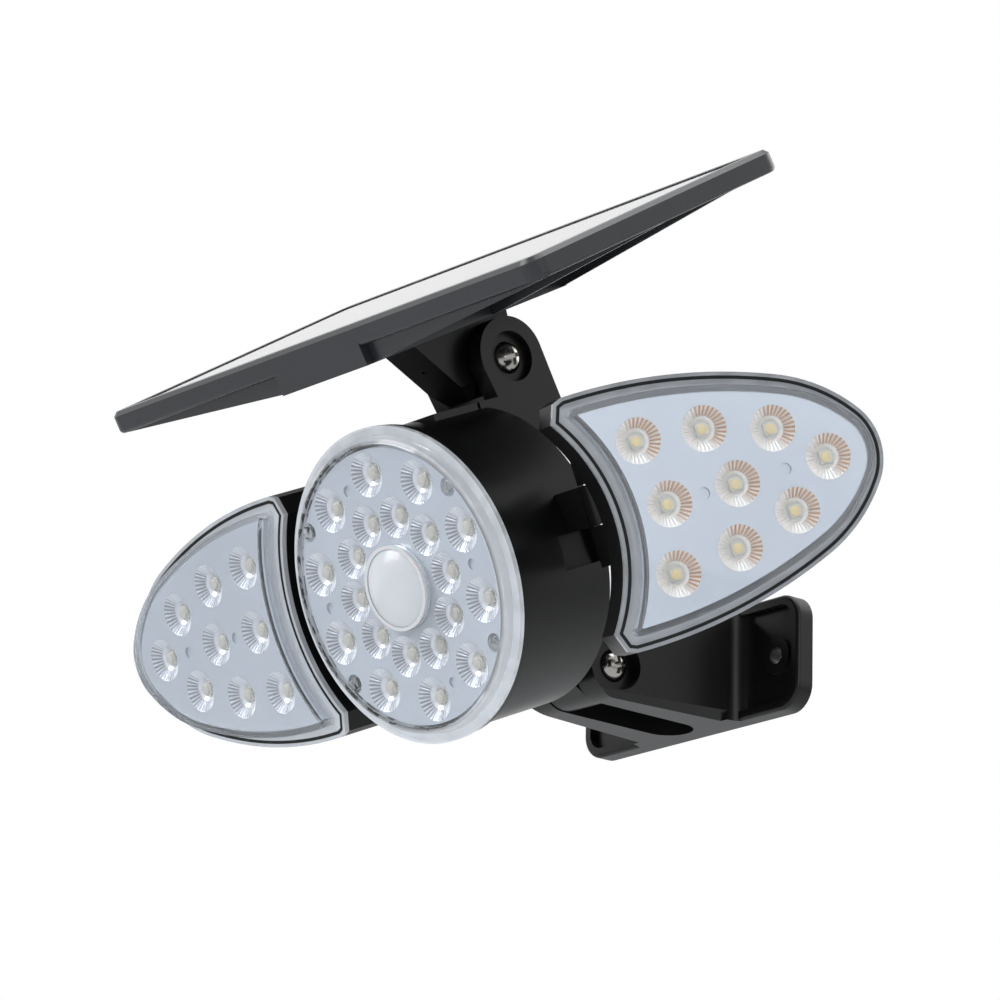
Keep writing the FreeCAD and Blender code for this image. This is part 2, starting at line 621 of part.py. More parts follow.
def rear_cover():
    flange_back = DRUM_DEPTH + COVER_FLANGE
    shell = turned([(0, DRUM_DEPTH), (DRUM_R, DRUM_DEPTH), (DRUM_R, flange_back),
                    (COVER_CONE_R, flange_back), (COVER_BACK_R, COVER_BACK), (0, COVER_BACK)])
    for wedge in drum_flats(FLANGE_SETBACK):
        shell = shell.cut(wedge)
    body = joined(shell, clevis_block(), pivot_lug()).cut(cover_cavity())
    posts = []
    for z in (-HOLDER_LUG_PITCH / 2, HOLDER_LUG_PITCH / 2):
        posts.append(rod_y(HOLDER_LUG, holder_lug_back(), COVER_INSIDE, 0, z))
    for x in (-SWITCH_POST_X, SWITCH_POST_X):
        posts.append(rod_y(1.8, switch_seat(), COVER_INSIDE, x, BUTTON_Z))
    posts.append(rod_y(BUTTON_R + 2.4, COVER_INSIDE - 1, COVER_INSIDE, 0, BUTTON_Z))
    body = joined(body, *posts)
    body = body.cut(rod_y(BUTTON_R + BUTTON_SLACK, switch_seat() + SWITCH_HEIGHT, COVER_BACK + 1,
                          0, BUTTON_Z))
    for x, z in cover_screw_places():
        body = body.cut(rod_y(TAPPING_R + 0.2, DRUM_DEPTH - 1, flange_back + 1, x, z))
    for tool in pivot_holes(EAR_HALF_WIDTH, PANEL_PIVOT_Y, PANEL_PIVOT_Z):
        body = body.cut(tool)
    return body.cut(rod_x(SCREW_R + RUNNING_FIT, -LUG_HALF_WIDTH - 1, LUG_HALF_WIDTH + 1,
                          LUG_PIVOT_Y, LUG_PIVOT_Z))


def rear_cover_screws():
    flange_back = DRUM_DEPTH + COVER_FLANGE
    screw = pan_screw(TAPPING_R, COVER_FLANGE + COVER_SCREW_LENGTH - 1, TAPPING_HEAD_R,
                      TAPPING_HEAD_HEIGHT, 0.8)
    return Part.makeCompound([aimed(screw, x, flange_back, z, Y_AXIS)
                              for x, z in cover_screw_places()])


# ------------------------------------------------------------- head, light engine
def peg_places():
    return [on_ring(PEG_RING_R, turn) for turn in
            (PEG_ANGLE, 180 - PEG_ANGLE, 180 + PEG_ANGLE, -PEG_ANGLE)]


def head_lens():
    inner_face = LENS_FACE_Y + LENS_WALL
    inner_r = LENS_FACE_R - LENS_WALL
    cover = turned([(0, LENS_FACE_Y), (LENS_FACE_R - 1.2, LENS_FACE_Y),
                    (LENS_FACE_R, LENS_FACE_Y + 1.2), (LENS_FACE_R + 0.6, FLANGE_FRONT),
                    (LENS_R, FLANGE_FRONT), (LENS_R, FLANGE_BACK), (inner_r, FLANGE_BACK),
                    (inner_r, inner_face), (0, inner_face)])
    pegs = [rod_y(PEG_R, inner_face, BOARD_FRONT, x, z) for x, z in peg_places()]
    cover = joined(cover, *pegs)
    return cover.cut(rod_y(COLLAR_R + FIT, LENS_FACE_Y - 1, inner_face + 1))


def ring_cups(ring_r, turn, cup_r):
    cups = []
    for number in range(CUP_COUNT):
        x, z = on_ring(ring_r, 90 - turn + 360 / CUP_COUNT * number)
        cups.append((x, z, cup_r))
    return cups


def head_cups():
    return ring_cups(OUTER_RING_R, 0, CUP_R) + ring_cups(INNER_RING_R, INNER_RING_TURN,
                                                         SMALL_CUP_R)


def cup_cone(x, z, radius, front):
    """Hollow of one cup, and the clear hole for its LED behind it."""
    return cone_y(radius, CUP_FOOT_R, front, front + REFLECTOR_DEPTH, x, z)


def head_reflector():
    plate = rod_y(REFLECTOR_R, REFLECTOR_FRONT, BOARD_FRONT)
    plate = plate.cut(rod_y(COLLAR_R + FIT, REFLECTOR_FRONT - 1, BOARD_FRONT + 1))
    for x, z in peg_places():
        plate = plate.cut(rod_y(PEG_NOTCH_R, REFLECTOR_FRONT - 1, BOARD_FRONT + 1, x, z))
    for x, z, radius in head_cups():
        plate = plate.cut(cup_cone(x, z, radius, REFLECTOR_FRONT))
    half_pitch = 180 / CUP_COUNT
    for angle in (0, 180, 90 + half_pitch, -90 + half_pitch):
        x, z = on_ring(OUTER_RING_R - 1.4, angle)
        plate = plate.cut(rod_y(DIMPLE_R, REFLECTOR_FRONT - 1, REFLECTOR_FRONT + DIMPLE_DEPTH, x, z))
    return plate


def led_package(x, z, board_front):
    half = LED_SIZE / 2
    body = box(x - half, x + half, board_front - LED_HEIGHT * 0.7, board_front, z - half, z + half)
    return body.fuse(rod_y(half * 0.8, board_front - LED_HEIGHT, board_front, x, z)).removeSplitter()


def head_leds():
    return Part.makeCompound([led_package(x, z, BOARD_FRONT) for x, z, _ in head_cups()])


def head_led_board():
    return rod_y(BOARD_R, BOARD_FRONT, BOARD_BACK)


# ----------------------------------------------------------------- motion sensor
def sensor_collar():
    front = LENS_FACE_Y - COLLAR_RISE
    inner = COLLAR_R - COLLAR_WALL
    seat = front + DOME_RIM + 0.4
    return turned([(inner, front), (COLLAR_R, front), (COLLAR_R, BOARD_FRONT),
                   (inner - COLLAR_SHOULDER, BOARD_FRONT), (inner - COLLAR_SHOULDER, seat),
                   (inner, seat)])


def spherical_cap(base_r, rise, front):
    """Cap that bulges forwards (-Y) from the plane y = front."""
    bulge = (base_r ** 2 + rise ** 2) / (2 * rise)
    ball = Part.makeSphere(bulge, Vector(0, front - rise + bulge, 0))
    return ball.common(rod_y(base_r, front - rise - 1, front))


def sensor_dome():
    seat = LENS_FACE_Y - COLLAR_RISE + DOME_RIM + 0.4
    front = seat - DOME_RIM
    base_r = COLLAR_R - COLLAR_WALL - 0.05
    outer = joined(rod_y(base_r, front, seat), spherical_cap(base_r, DOME_RISE, front))
    inner_r = base_r - DOME_SHELL
    inner = joined(rod_y(inner_r, front, seat + 1),
                   spherical_cap(inner_r, DOME_RISE - DOME_SHELL, front))
    return outer.cut(inner)


def motion_sensor():
    can = rod_y(SENSOR_R, BOARD_FRONT - SENSOR_HEIGHT, BOARD_FRONT)
    flange = rod_y(SENSOR_FLANGE_R, BOARD_FRONT - 0.5, BOARD_FRONT)
    half = SENSOR_R * 0.5
    window = box(-half, half, BOARD_FRONT - SENSOR_HEIGHT - 1, BOARD_FRONT - SENSOR_HEIGHT + 0.4,
                 -half * 0.8, half * 0.8)
    return joined(can, flange).cut(window)


# --------------------------------------------------------------- head, electrics
def holder_front():
    return CELL_Y - HOLDER_DEPTH + HOLDER_WALL / 2


def holder_lug_back():
    return CELL_Y


def cell_heights():
    return (-CELL_PITCH / 2, CELL_PITCH / 2)


def battery_cells():
    cells = []
    for z in cell_heights():
        can = rod_x(CELL_R, -CELL_LENGTH / 2, CELL_LENGTH / 2, CELL_Y, z)
        nub = rod_x(CELL_NUB_R, CELL_LENGTH / 2, CELL_LENGTH / 2 + CELL_NUB, CELL_Y, z)
        cells.append(joined(can, nub))
    return Part.makeCompound(cells)


def control_pegs():
    return [(x, z) for x in (-CONTROL_WIDTH / 2 + 5, CONTROL_WIDTH / 2 - 5)
            for z in (-CONTROL_HEIGHT / 2 + 5, CONTROL_HEIGHT / 2 - 5)]


def battery_holder():
    half_x = CELL_LENGTH / 2 + CELL_NUB + HOLDER_WALL
    half_z = CELL_PITCH / 2 + CELL_R + HOLDER_WALL
    tray = box(-half_x, half_x, holder_front(), holder_lug_back(), -half_z, half_z)
    for z in cell_heights():
        trough_end = CELL_LENGTH / 2 + CELL_NUB
        tray = tray.cut(rod_x(CELL_R + FIT, -trough_end, trough_end, CELL_Y, z))
    lug_half = HOLDER_LUG_PITCH / 2 + HOLDER_LUG
    lugs = box(-HOLDER_LUG, HOLDER_LUG, holder_lug_back() - 4, holder_lug_back(),
               -lug_half, lug_half)
    lugs = lugs.cut(box(-HOLDER_LUG - 1, HOLDER_LUG + 1, 0, COVER_BACK, -half_z + 1, half_z - 1))
    pegs = [rod_y(CONTROL_PEG_R, CONTROL_Y + BOARD_THICKNESS, holder_front(), x, z)
            for x, z in control_pegs()]
    return joined(tray, lugs, *pegs)


def control_board():
    half_x, half_z = CONTROL_WIDTH / 2, CONTROL_HEIGHT / 2
    board = box(-half_x, half_x, CONTROL_Y, CONTROL_Y + BOARD_THICKNESS, -half_z, half_z)
    coil = rod_y(5.0, CONTROL_Y - 3.4, CONTROL_Y, -14, 8)
    chip = box(2, 11, CONTROL_Y - 1.4, CONTROL_Y, -4, 3)
    driver = box(-20, -14, CONTROL_Y - 1.6, CONTROL_Y, -12, -7)
    plugs = [box(x, x + 6, CONTROL_Y - 3.0, CONTROL_Y, -20, -15) for x in (-4, 6, 16)]
    return joined(board, coil, chip, driver, *plugs)


def switch_seat():
    """Front plane of the small board's posts, behind the battery cells."""
    pressed = COVER_INSIDE - BUTTON_FLANGE - BUTTON_TRAVEL - 1.0
    return pressed - TOUCH_GAP - SWITCH_PLUNGER - SWITCH_HEIGHT


def mode_switch():
    seat = switch_seat()
    half = SWITCH_SIZE / 2
    board_half = SWITCH_POST_X + 1.8
    board = box(-board_half, board_half, seat - BOARD_THICKNESS, seat, BUTTON_Z - 6, BUTTON_Z + 6)
    body = box(-half, half, seat, seat + SWITCH_HEIGHT, BUTTON_Z - half, BUTTON_Z + half)
    plunger = rod_y(SWITCH_PLUNGER_R, seat, seat + SWITCH_HEIGHT + SWITCH_PLUNGER, 0, BUTTON_Z)
    return joined(board, body, plunger)


def mode_button():
    """Button in the rear cover, its flange inside so that it can't fall out."""
    inner = COVER_INSIDE - 1.0
    flange = rod_y(BUTTON_R + BUTTON_LEDGE, inner - BUTTON_FLANGE, inner - 0.05, 0, BUTTON_Z)
    cap = rod_y(BUTTON_R, inner - BUTTON_FLANGE, COVER_BACK + BUTTON_PROUD, 0, BUTTON_Z)
    rim = [e for e in cap.Edges if abs(e.CenterOfMass.y - COVER_BACK - BUTTON_PROUD) < 1e-6]
    return joined(flange, cap.makeFillet(0.8, rim))


# ------------------------------------------------------------------------- wings
def wing_arc(centre, radius, start, end):
    """Arc in the XZ plane from start to end, the short way round."""
    a0 = math.atan2(start[1] - centre[1], start[0] - centre[0])
    a1 = math.atan2(end[1] - centre[1], end[0] - centre[0])
    middle = (a0 + a1) / 2
    through = (centre[0] + radius * math.cos(middle), centre[1] + radius * math.sin(middle))
    points = [Vector(x, 0, z) for x, z in (start, through, end)]
    return Part.Arc(*points).toShape()


def wing_wire():
    """Outline of the +X wing: concave towards the head, round at the tip."""
    hollow_r = LENS_R + WING_GAP
    arc_end = (math.sqrt(hollow_r ** 2 - WING_ARC_END_Z ** 2), WING_ARC_END_Z)
    flank_centre = (WING_FLANK_X, WING_HALF_HEIGHT - WING_FLANK_R)
    shoulder_rise = math.sqrt(WING_FLANK_R ** 2 - (WING_SHOULDER_X - WING_FLANK_X) ** 2)
    shoulder = (WING_SHOULDER_X, flank_centre[1] + shoulder_rise)
    tip_centre = (WING_LENGTH - WING_TIP_R, 0.0)
    away = (tip_centre[0] - flank_centre[0], tip_centre[1] - flank_centre[1])
    span = math.hypot(*away)
    near = WING_FLANK_R - WING_SIDE_R
    far = WING_SIDE_R - WING_TIP_R
    along = (near ** 2 - far ** 2 + span ** 2) / (2 * span)
    aside = math.sqrt(near ** 2 - along ** 2)
    unit = (away[0] / span, away[1] / span)
    side_centre = (flank_centre[0] + along * unit[0] - aside * unit[1],
                   flank_centre[1] + along * unit[1] + aside * unit[0])
    flank_end = tuple(f + (s - f) * WING_FLANK_R / near
                      for f, s in zip(flank_centre, side_centre))
    side_end = tuple(s + (t - s) * WING_SIDE_R / far
                     for s, t in zip(side_centre, tip_centre))
    tip = (WING_LENGTH, 0.0)
    corner = (WING_CORNER_X, WING_CORNER_Z)
    upper = [Part.makeLine(Vector(arc_end[0], 0, arc_end[1]), Vector(corner[0], 0, corner[1])),
             Part.makeLine(Vector(corner[0], 0, corner[1]), Vector(shoulder[0], 0, shoulder[1])),
             wing_arc(flank_centre, WING_FLANK_R, shoulder, flank_end),
             wing_arc(side_centre, WING_SIDE_R, flank_end, side_end),
             wing_arc(tip_centre, WING_TIP_R, side_end, tip)]
    lower = [edge.mirror(Vector(0, 0, 0), Z_AXIS) for edge in upper]
    hollow = wing_arc((0.0, 0.0), hollow_r, (arc_end[0], -arc_end[1]), arc_end)
    return Part.Wire(Part.__sortEdges__(upper + lower + [hollow]))


def wing_slab(inset, y0, y1):
    """Slab with the wing's outline, drawn in by an inset."""
    wire = wing_wire()
    if inset > 0:
        wire = wire.makeOffset2D(-inset, 0, False, False, False)
    face = Part.Face(wire)
    slab = face.extrude(Vector(0, y1 - y0, 0))
    slab.translate(Vector(0, y0, 0))
    return slab


def wing_cups():
    cups = []
    for x, z in WING_CUPS:
        cups.append((x, z, CUP_R))
        cups.append((x, -z, CUP_R))
    for x in WING_MID_CUPS:
        cups.append((x, 0.0, CUP_R))
    return cups


def wing_seal():
    back = WING_FLANGE_BACK + SEAL_DEPTH
    outer = wing_slab(WING_SEAL_INSET, WING_FLANGE_BACK, back)
    return outer.cut(wing_slab(WING_SEAL_INSET + WING_SEAL_WIDTH, WING_FLANGE_BACK, back))


def wing_knuckle(z0, z1):
    """Barrel behind the wing's shell and the web that carries it."""
    barrel = rod_z(KNUCKLE_R, z0, z1, HINGE_X, HINGE_Y)
    web = box(HINGE_X - KNUCKLE_R, HINGE_X + KNUCKLE_R, WING_BACK_Y - 1, HINGE_Y, z0, z1)
    return joined(barrel, web)


def wing_shell():
    shell = wing_slab(0, WING_FLANGE_BACK, WING_BACK_Y)
    back = [e for e in shell.Edges if e.BoundBox.YMin > WING_BACK_Y - 1e-6]
    shell = shell.makeChamfer(WING_EDGE, back)
    inside = wing_slab(WING_WALL, WING_FLANGE_BACK, WING_BACK_Y - WING_BACK)
    shell = shell.cut(inside).cut(wing_seal())
    pieces = [rod_y(WING_POST_R, WING_BOARD_BACK, WING_BACK_Y - 1, x) for x in WING_SCREWS]
    pieces.append(wing_knuckle(KNUCKLE_BOTTOM, ARM_FOOT_Z - KNUCKLE_GAP))
    pieces.append(wing_knuckle(ARM_TOP_Z + KNUCKLE_GAP, KNUCKLE_TOP))
    shell = joined(shell, *pieces)
    shell = shell.cut(rod_z(PIN_R + RUNNING_FIT, KNUCKLE_BOTTOM - 1, KNUCKLE_TOP + 1,
                            HINGE_X, HINGE_Y))
    for x in WING_SCREWS:
        shell = shell.cut(rod_y(TAPPING_R + 0.2, WING_BOARD_BACK - 1, WING_BACK_Y + 1, x))
        shell = shell.cut(rod_y(TAPPING_HEAD_R + 0.3, WING_BACK_Y - 1, WING_BACK_Y + 1, x))
    return shell


def wing_lens():
    face = WING_FLANGE_FRONT - WING_LENS_RISE
    flange = wing_slab(0, WING_FLANGE_FRONT, WING_FLANGE_BACK)
    plateau = wing_slab(WING_LENS_INSET, face, WING_FLANGE_FRONT)
    inside = wing_slab(WING_LENS_INSET + LENS_WALL, face + LENS_WALL, WING_FLANGE_BACK)
    return joined(flange, plateau).cut(inside)


def wing_reflector():
    front = -WING_PLATE_FRONT
    plate = wing_slab(WING_PLATE_INSET, front, WING_BOARD_FRONT)
    for x, z, radius in wing_cups():
        plate = plate.cut(cup_cone(x, z, radius, front))
    for x in WING_SCREWS:
        plate = plate.cut(rod_y(TAPPING_R, WING_BOARD_FRONT - 2, WING_BOARD_FRONT + 1, x))
        plate = plate.cut(rod_y(DIMPLE_R, front - 1, front + DIMPLE_DEPTH, x))
    return plate


def wing_led_board():
    board = wing_slab(WING_PLATE_INSET, WING_BOARD_FRONT, WING_BOARD_BACK)
    for x in WING_SCREWS:
        board = board.cut(rod_y(TAPPING_R + 0.2, WING_BOARD_FRONT - 1, WING_BOARD_BACK + 1, x))
    return board


def wing_leds():
    return Part.makeCompound([led_package(x, z, WING_BOARD_FRONT) for x, z, _ in wing_cups()])


def wing_screws():
    seat = WING_BACK_Y - 1
    screw = pan_screw(TAPPING_R, seat - WING_BOARD_FRONT + 1.8, TAPPING_HEAD_R,
                      TAPPING_HEAD_HEIGHT, 0.8)
    return Part.makeCompound([aimed(screw, x, seat, 0, Y_AXIS) for x in WING_SCREWS])


def hinge_pin():
    shank = rod_z(PIN_R, KNUCKLE_BOTTOM - PIN_TAIL, KNUCKLE_TOP, HINGE_X, HINGE_Y)
    head = rod_z(PIN_HEAD_R, KNUCKLE_TOP, KNUCKLE_TOP + PIN_HEAD, HINGE_X, HINGE_Y)
    return joined(shank, head)


# ------------------------------------------------------------------- solar panel
def panel_slab(inset, z0, z1):
    """Rounded rectangle in the panel's plane, drawn in by an inset."""
    half_x, half_y = PANEL_LENGTH / 2 - inset, PANEL_DEPTH / 2 - inset
    slab = box(-half_x, half_x, -half_y, half_y, z0, z1)
    upright = [e for e in slab.Edges if abs(e.BoundBox.ZLength - (z1 - z0)) < 1e-6]
    return slab.makeFillet(max(PANEL_CORNER_R - inset, 0.8), upright)


def spine_bottom(y):
    """Height of the spine's underside at a place along the depth."""
    front = -PANEL_DEPTH / 2
    share = (y - front) / SPINE_LENGTH
    return -SPINE_FRONT_DEPTH - (SPINE_BACK_DEPTH - SPINE_FRONT_DEPTH) * share


def spine_block(half_width, front, back, top, lift):
    profile = [(front, top), (front, spine_bottom(front) + lift),
               (back, spine_bottom(back) + lift), (back, top)]
    return prism_x(profile, -half_width, half_width)


def panel_tray():
    front = -PANEL_DEPTH / 2
    back = front + SPINE_LENGTH
    tray = panel_slab(0, -PANEL_RIM, 0)
    lower = [e for e in tray.Edges if e.BoundBox.ZMax < -PANEL_RIM + 1e-6]
    tray = tray.makeFillet(PANEL_EDGE_R, lower)
    hollow = panel_slab(PANEL_TRAY_WALL, -PANEL_RIM - 1, -PANEL_SKIN - CELL_SHEET)
    seat = panel_slab(BEZEL_WIDTH, -CELL_SHEET, 1)
    spine = spine_block(SPINE_HALF_WIDTH, front, back, -PANEL_SKIN, 0)
    inside = spine_block(SPINE_HALF_WIDTH - SPINE_WALL, front + SPINE_WALL, back - SPINE_WALL,
                         -PANEL_SKIN - CELL_SHEET, SPINE_WALL)
    ribs = []
    side_x = PANEL_LENGTH / 2 - PANEL_TRAY_WALL / 2
    for y in (front + RIB_SETBACK, 0, back - RIB_THICKNESS):
        depth = spine_bottom(y)
        points = [(SPINE_HALF_WIDTH - 1, -PANEL_SKIN), (side_x, -PANEL_SKIN),
                  (side_x, -PANEL_RIM), (SPINE_HALF_WIDTH - 1, depth)]
        ribs += both_sides(prism_y(points, y, y + RIB_THICKNESS))
    body = joined(tray.cut(hollow), spine, *ribs).cut(inside).cut(seat)
    for y in ARM_SCREWS:
        body = body.cut(rod_z(TAPPING_R + 0.2, spine_bottom(y) - 1,
                              spine_bottom(y) + SPINE_WALL + 1, 0, y))
    return body


def panel_bezel():
    outer = panel_slab(0, 0, BEZEL_HEIGHT)
    top = [e for e in outer.Edges if e.BoundBox.ZMin > BEZEL_HEIGHT - 1e-6]
    outer = outer.makeChamfer(BEZEL_CHAMFER, top)
    return outer.cut(panel_slab(BEZEL_WIDTH, -1, BEZEL_HEIGHT + 1))


def solar_glass():
    return panel_slab(BEZEL_WIDTH + FIT, 0, BEZEL_HEIGHT - GLASS_RECESS)


def solar_cells():
    return panel_slab(BEZEL_WIDTH + FIT, -CELL_SHEET, 0)


def panel_arm():
    y, z = PANEL_PIVOT_BACK, -PANEL_PIVOT_BELOW
    lip_y = ARM_CHIN[0] + ARM_LIP
    under = (lip_y + 0.4, ARM_CHIN[1] + ARM_LIP_HEIGHT - 0.8)
    touch_front = tangent_hull(ARM_KNUCKLE_R, y, z, under[0], under[1], 1)
    top_back = (ARM_TOP_BACK, spine_bottom(ARM_TOP_BACK))
    touch_back = tangent_hull(ARM_KNUCKLE_R, y, z, top_back[0], top_back[1], -1)
    profile = [(ARM_TOP_FRONT, spine_bottom(ARM_TOP_FRONT)), ARM_CHIN, (lip_y, ARM_CHIN[1]),
               under, touch_front, (y, z), touch_back, top_back]
    wedge = prism_x(profile, -ARM_HALF_WIDTH, ARM_HALF_WIDTH)
    lip_top = ARM_CHIN[1] + ARM_LIP_HEIGHT
    corner = prism_y([(ARM_HALF_WIDTH, lip_top), (ARM_LIP_HALF, ARM_CHIN[1]),
                      (ARM_HALF_WIDTH, ARM_CHIN[1])], ARM_TOP_FRONT, lip_y + 0.4)
    for tool in both_sides(corner):
        wedge = wedge.cut(tool)
    knuckle = rod_x(ARM_KNUCKLE_R, -ARM_KNUCKLE_HALF, ARM_KNUCKLE_HALF, y, z)
    body = joined(wedge, knuckle)
    for place in ARM_SCREWS:
        top = spine_bottom(place)
        body = body.cut(rod_z(TAPPING_R, top - ARM_SCREW_GRIP - 1, top + 1, 0, place))
    return body.cut(rod_x(SCREW_R + RUNNING_FIT, -ARM_KNUCKLE_HALF - 1, ARM_KNUCKLE_HALF + 1, y, z))


def panel_screws():
    """Screws from inside the spine down into the panel's arm."""
    screw = pan_screw(TAPPING_R, SPINE_WALL + ARM_SCREW_GRIP, TAPPING_HEAD_R,
                      TAPPING_HEAD_HEIGHT, 0.8)
    return Part.makeCompound([aimed(screw, 0, y, spine_bottom(y) + SPINE_WALL + 0.2, Z_AXIS)
                              for y in ARM_SCREWS])


# -------------------------------------------------------------- putting together
def head_place():
    turn = Rotation(X_AXIS, HEAD_TILT)
    pivot = Vector(0, -HEAD_PIVOT_REACH, -HEAD_PIVOT_DROP)
    return Placement(pivot - turn.multVec(Vector(0, LUG_PIVOT_Y, LUG_PIVOT_Z)), turn)


def wing_place(side, swivel):
    """Swivel about the hinge pin, inside the head's frame; side is 1 or -1."""
    turn = Rotation(Z_AXIS, side * swivel)
    axis = Vector(side * HINGE_X, HINGE_Y, 0)
    return head_place().multiply(Placement(axis - turn.multVec(axis), turn))


def panel_place():
    turn = Rotation(X_AXIS, PANEL_TILT)
    pivot = head_place().multVec(Vector(0, PANEL_PIVOT_Y, PANEL_PIVOT_Z))
    local = Vector(0, PANEL_PIVOT_BACK, -PANEL_PIVOT_BELOW)
    return Placement(pivot - turn.multVec(local), turn)


def moved(shape, placement):
    copy = shape.copy()
    copy.Placement = placement.multiply(copy.Placement)
    return copy


def bracket_parts():
    pivot_y, pivot_z = -HEAD_PIVOT_REACH, -HEAD_PIVOT_DROP
    return {
        "wall_bracket": wall_bracket(),
        "head_pivot_screw": pivot_screw(HEAD_PIVOT_HALF, pivot_y, pivot_z),
        "head_pivot_nut": pivot_nut(HEAD_PIVOT_HALF, pivot_y, pivot_z),
    }


def head_parts():
    return {
        "head_housing": head_housing(),
        "rear_cover": rear_cover(),
        "rear_cover_screws": rear_cover_screws(),
        "lens_seal": seal_ring(),
        "head_lens": head_lens(),
        "head_reflector": head_reflector(),
        "head_leds": head_leds(),
        "head_led_board": head_led_board(),
        "sensor_collar": sensor_collar(),
        "sensor_dome": sensor_dome(),
        "motion_sensor": motion_sensor(),
        "control_board": control_board(),
        "battery_holder": battery_holder(),
        "battery_cells": battery_cells(),
        "mode_switch": mode_switch(),
        "mode_button": mode_button(),
        "right_hinge_arm": hinge_arm(),
        "left_hinge_arm": mirrored(hinge_arm()),
        "panel_pivot_screw": pivot_screw(EAR_HALF_WIDTH, PANEL_PIVOT_Y, PANEL_PIVOT_Z),
        "panel_pivot_nut": pivot_nut(EAR_HALF_WIDTH, PANEL_PIVOT_Y, PANEL_PIVOT_Z),
    }


def wing_parts():
    return {
        "wing_shell": wing_shell(),
        "wing_lens": wing_lens(),
        "wing_seal": wing_seal(),
        "wing_reflector": wing_reflector(),
        "wing_leds": wing_leds(),
        "wing_led_board": wing_led_board(),
        "wing_screws": wing_screws(),
        "wing_hinge_pin": hinge_pin(),
    }


def panel_parts():
    return {
        "panel_tray": panel_tray(),
        "panel_bezel": panel_bezel(),
        "solar_glass": solar_glass(),
        "solar_cells": solar_cells(),
        "panel_arm": panel_arm(),
        "panel_arm_screws": panel_screws(),
    }


def all_parts():
    parts = dict(bracket_parts())
    for name, shape in head_parts().items():
        parts[name] = moved(shape, head_place())
    for name, shape in wing_parts().items():
        parts["right_" + name] = moved(shape, wing_place(1, WING_SWIVEL_RIGHT))
        parts["left_" + name] = moved(mirrored(shape), wing_place(-1, WING_SWIVEL_LEFT))
    for name, shape in panel_parts().items():
        parts[name] = moved(shape, panel_place())
    return parts


def main():
    os.makedirs("parts", exist_ok=True)
    for name, shape in all_parts().items():
        solids = shape.Solids
        exported = solids[0] if len(solids) == 1 else Part.makeCompound(solids)
        exported.exportStep("parts/" + name + ".step")
        print("%-22s solids %d  volume %.1f  valid %s"
              % (name, len(solids), exported.Volume, exported.isValid()))


main()
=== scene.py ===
# %% [markdown]
# # A solar motion sensor light, dressed in Blender
# The object is a security lamp for a garden wall: a round head with a motion
# sensor in its middle, two hinged wing lamps, a solar panel and a bracket.
# Its solid parts come ready made from CAD, each one fixed in place. This
# lesson gives them lifelike finishes and adds the fine pieces that CAD leaves
# out. Lengths are metres, +Z is up and the lamp looks towards -Y.

# %% Load the fixed frame
import bpy
import math
from mathutils import Matrix, Vector


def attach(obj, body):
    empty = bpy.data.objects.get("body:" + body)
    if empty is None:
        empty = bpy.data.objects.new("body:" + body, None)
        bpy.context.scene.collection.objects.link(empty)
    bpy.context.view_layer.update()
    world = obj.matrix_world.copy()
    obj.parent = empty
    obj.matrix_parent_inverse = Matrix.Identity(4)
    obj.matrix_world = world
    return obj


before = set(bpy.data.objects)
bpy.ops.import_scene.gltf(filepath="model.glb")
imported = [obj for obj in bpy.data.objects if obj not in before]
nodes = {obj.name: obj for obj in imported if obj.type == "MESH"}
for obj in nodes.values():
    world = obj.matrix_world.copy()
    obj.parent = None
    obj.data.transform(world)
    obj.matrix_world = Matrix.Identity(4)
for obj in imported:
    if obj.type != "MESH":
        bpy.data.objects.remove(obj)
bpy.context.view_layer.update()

# %% [markdown]
# ## Working frames
# The head looks down at an angle, each wing swings about its pin and the
# panel leans back. A detail is easiest to model upright, so each of these
# four gets a matrix that carries a mesh from its own upright frame, in
# millimetres, to its place on the lamp, in metres.

# %% Matrices for the head, the wings and the panel
MM = 0.001
HEAD_PIVOT = Vector((0.0, -49.4, -7.4))
HEAD_LUG = Vector((0.0, 56.7, -41.0))
HEAD_TILT = math.radians(24.0)
WING_PIN = Vector((59.2, 30.0, 0.0))
WING_SWIVEL = {"right": math.radians(62.0), "left": math.radians(3.0)}
PANEL_PIVOT_ON_HEAD = Vector((0.0, 54.4, 56.8))
PANEL_PIVOT_ON_PANEL = Vector((0.0, 5.9, -27.4))
PANEL_TILT = math.radians(32.0)


def turned_about(angle, axis, own_point, target):
    """Turn about own_point, then carry that point to the target."""
    turn = Matrix.Rotation(angle, 4, axis)
    return Matrix.Translation(target) @ turn @ Matrix.Translation(-own_point)


to_metres = Matrix.Scale(MM, 4)
head_mm = turned_about(HEAD_TILT, "X", HEAD_LUG, HEAD_PIVOT)
right_mm = head_mm @ turned_about(WING_SWIVEL["right"], "Z", WING_PIN, WING_PIN)
left_pin = Vector((-WING_PIN.x, WING_PIN.y, 0.0))
left_mm = head_mm @ turned_about(-WING_SWIVEL["left"], "Z", left_pin, left_pin)
panel_mm = turned_about(PANEL_TILT, "X", PANEL_PIVOT_ON_PANEL,
                        head_mm @ PANEL_PIVOT_ON_HEAD)
HEAD = to_metres @ head_mm
RIGHT = to_metres @ right_mm
LEFT = to_metres @ left_mm
PANEL = to_metres @ panel_mm
print("head centre:", HEAD.translation, "panel centre:", PANEL.translation)

# %% [markdown]
# ## The camera
# The photograph was taken with a long lens, from the lamp's right front and
# from a little below it. A long lens keeps far and near parts almost the same
# size, so the camera stands well back and its view is narrow.

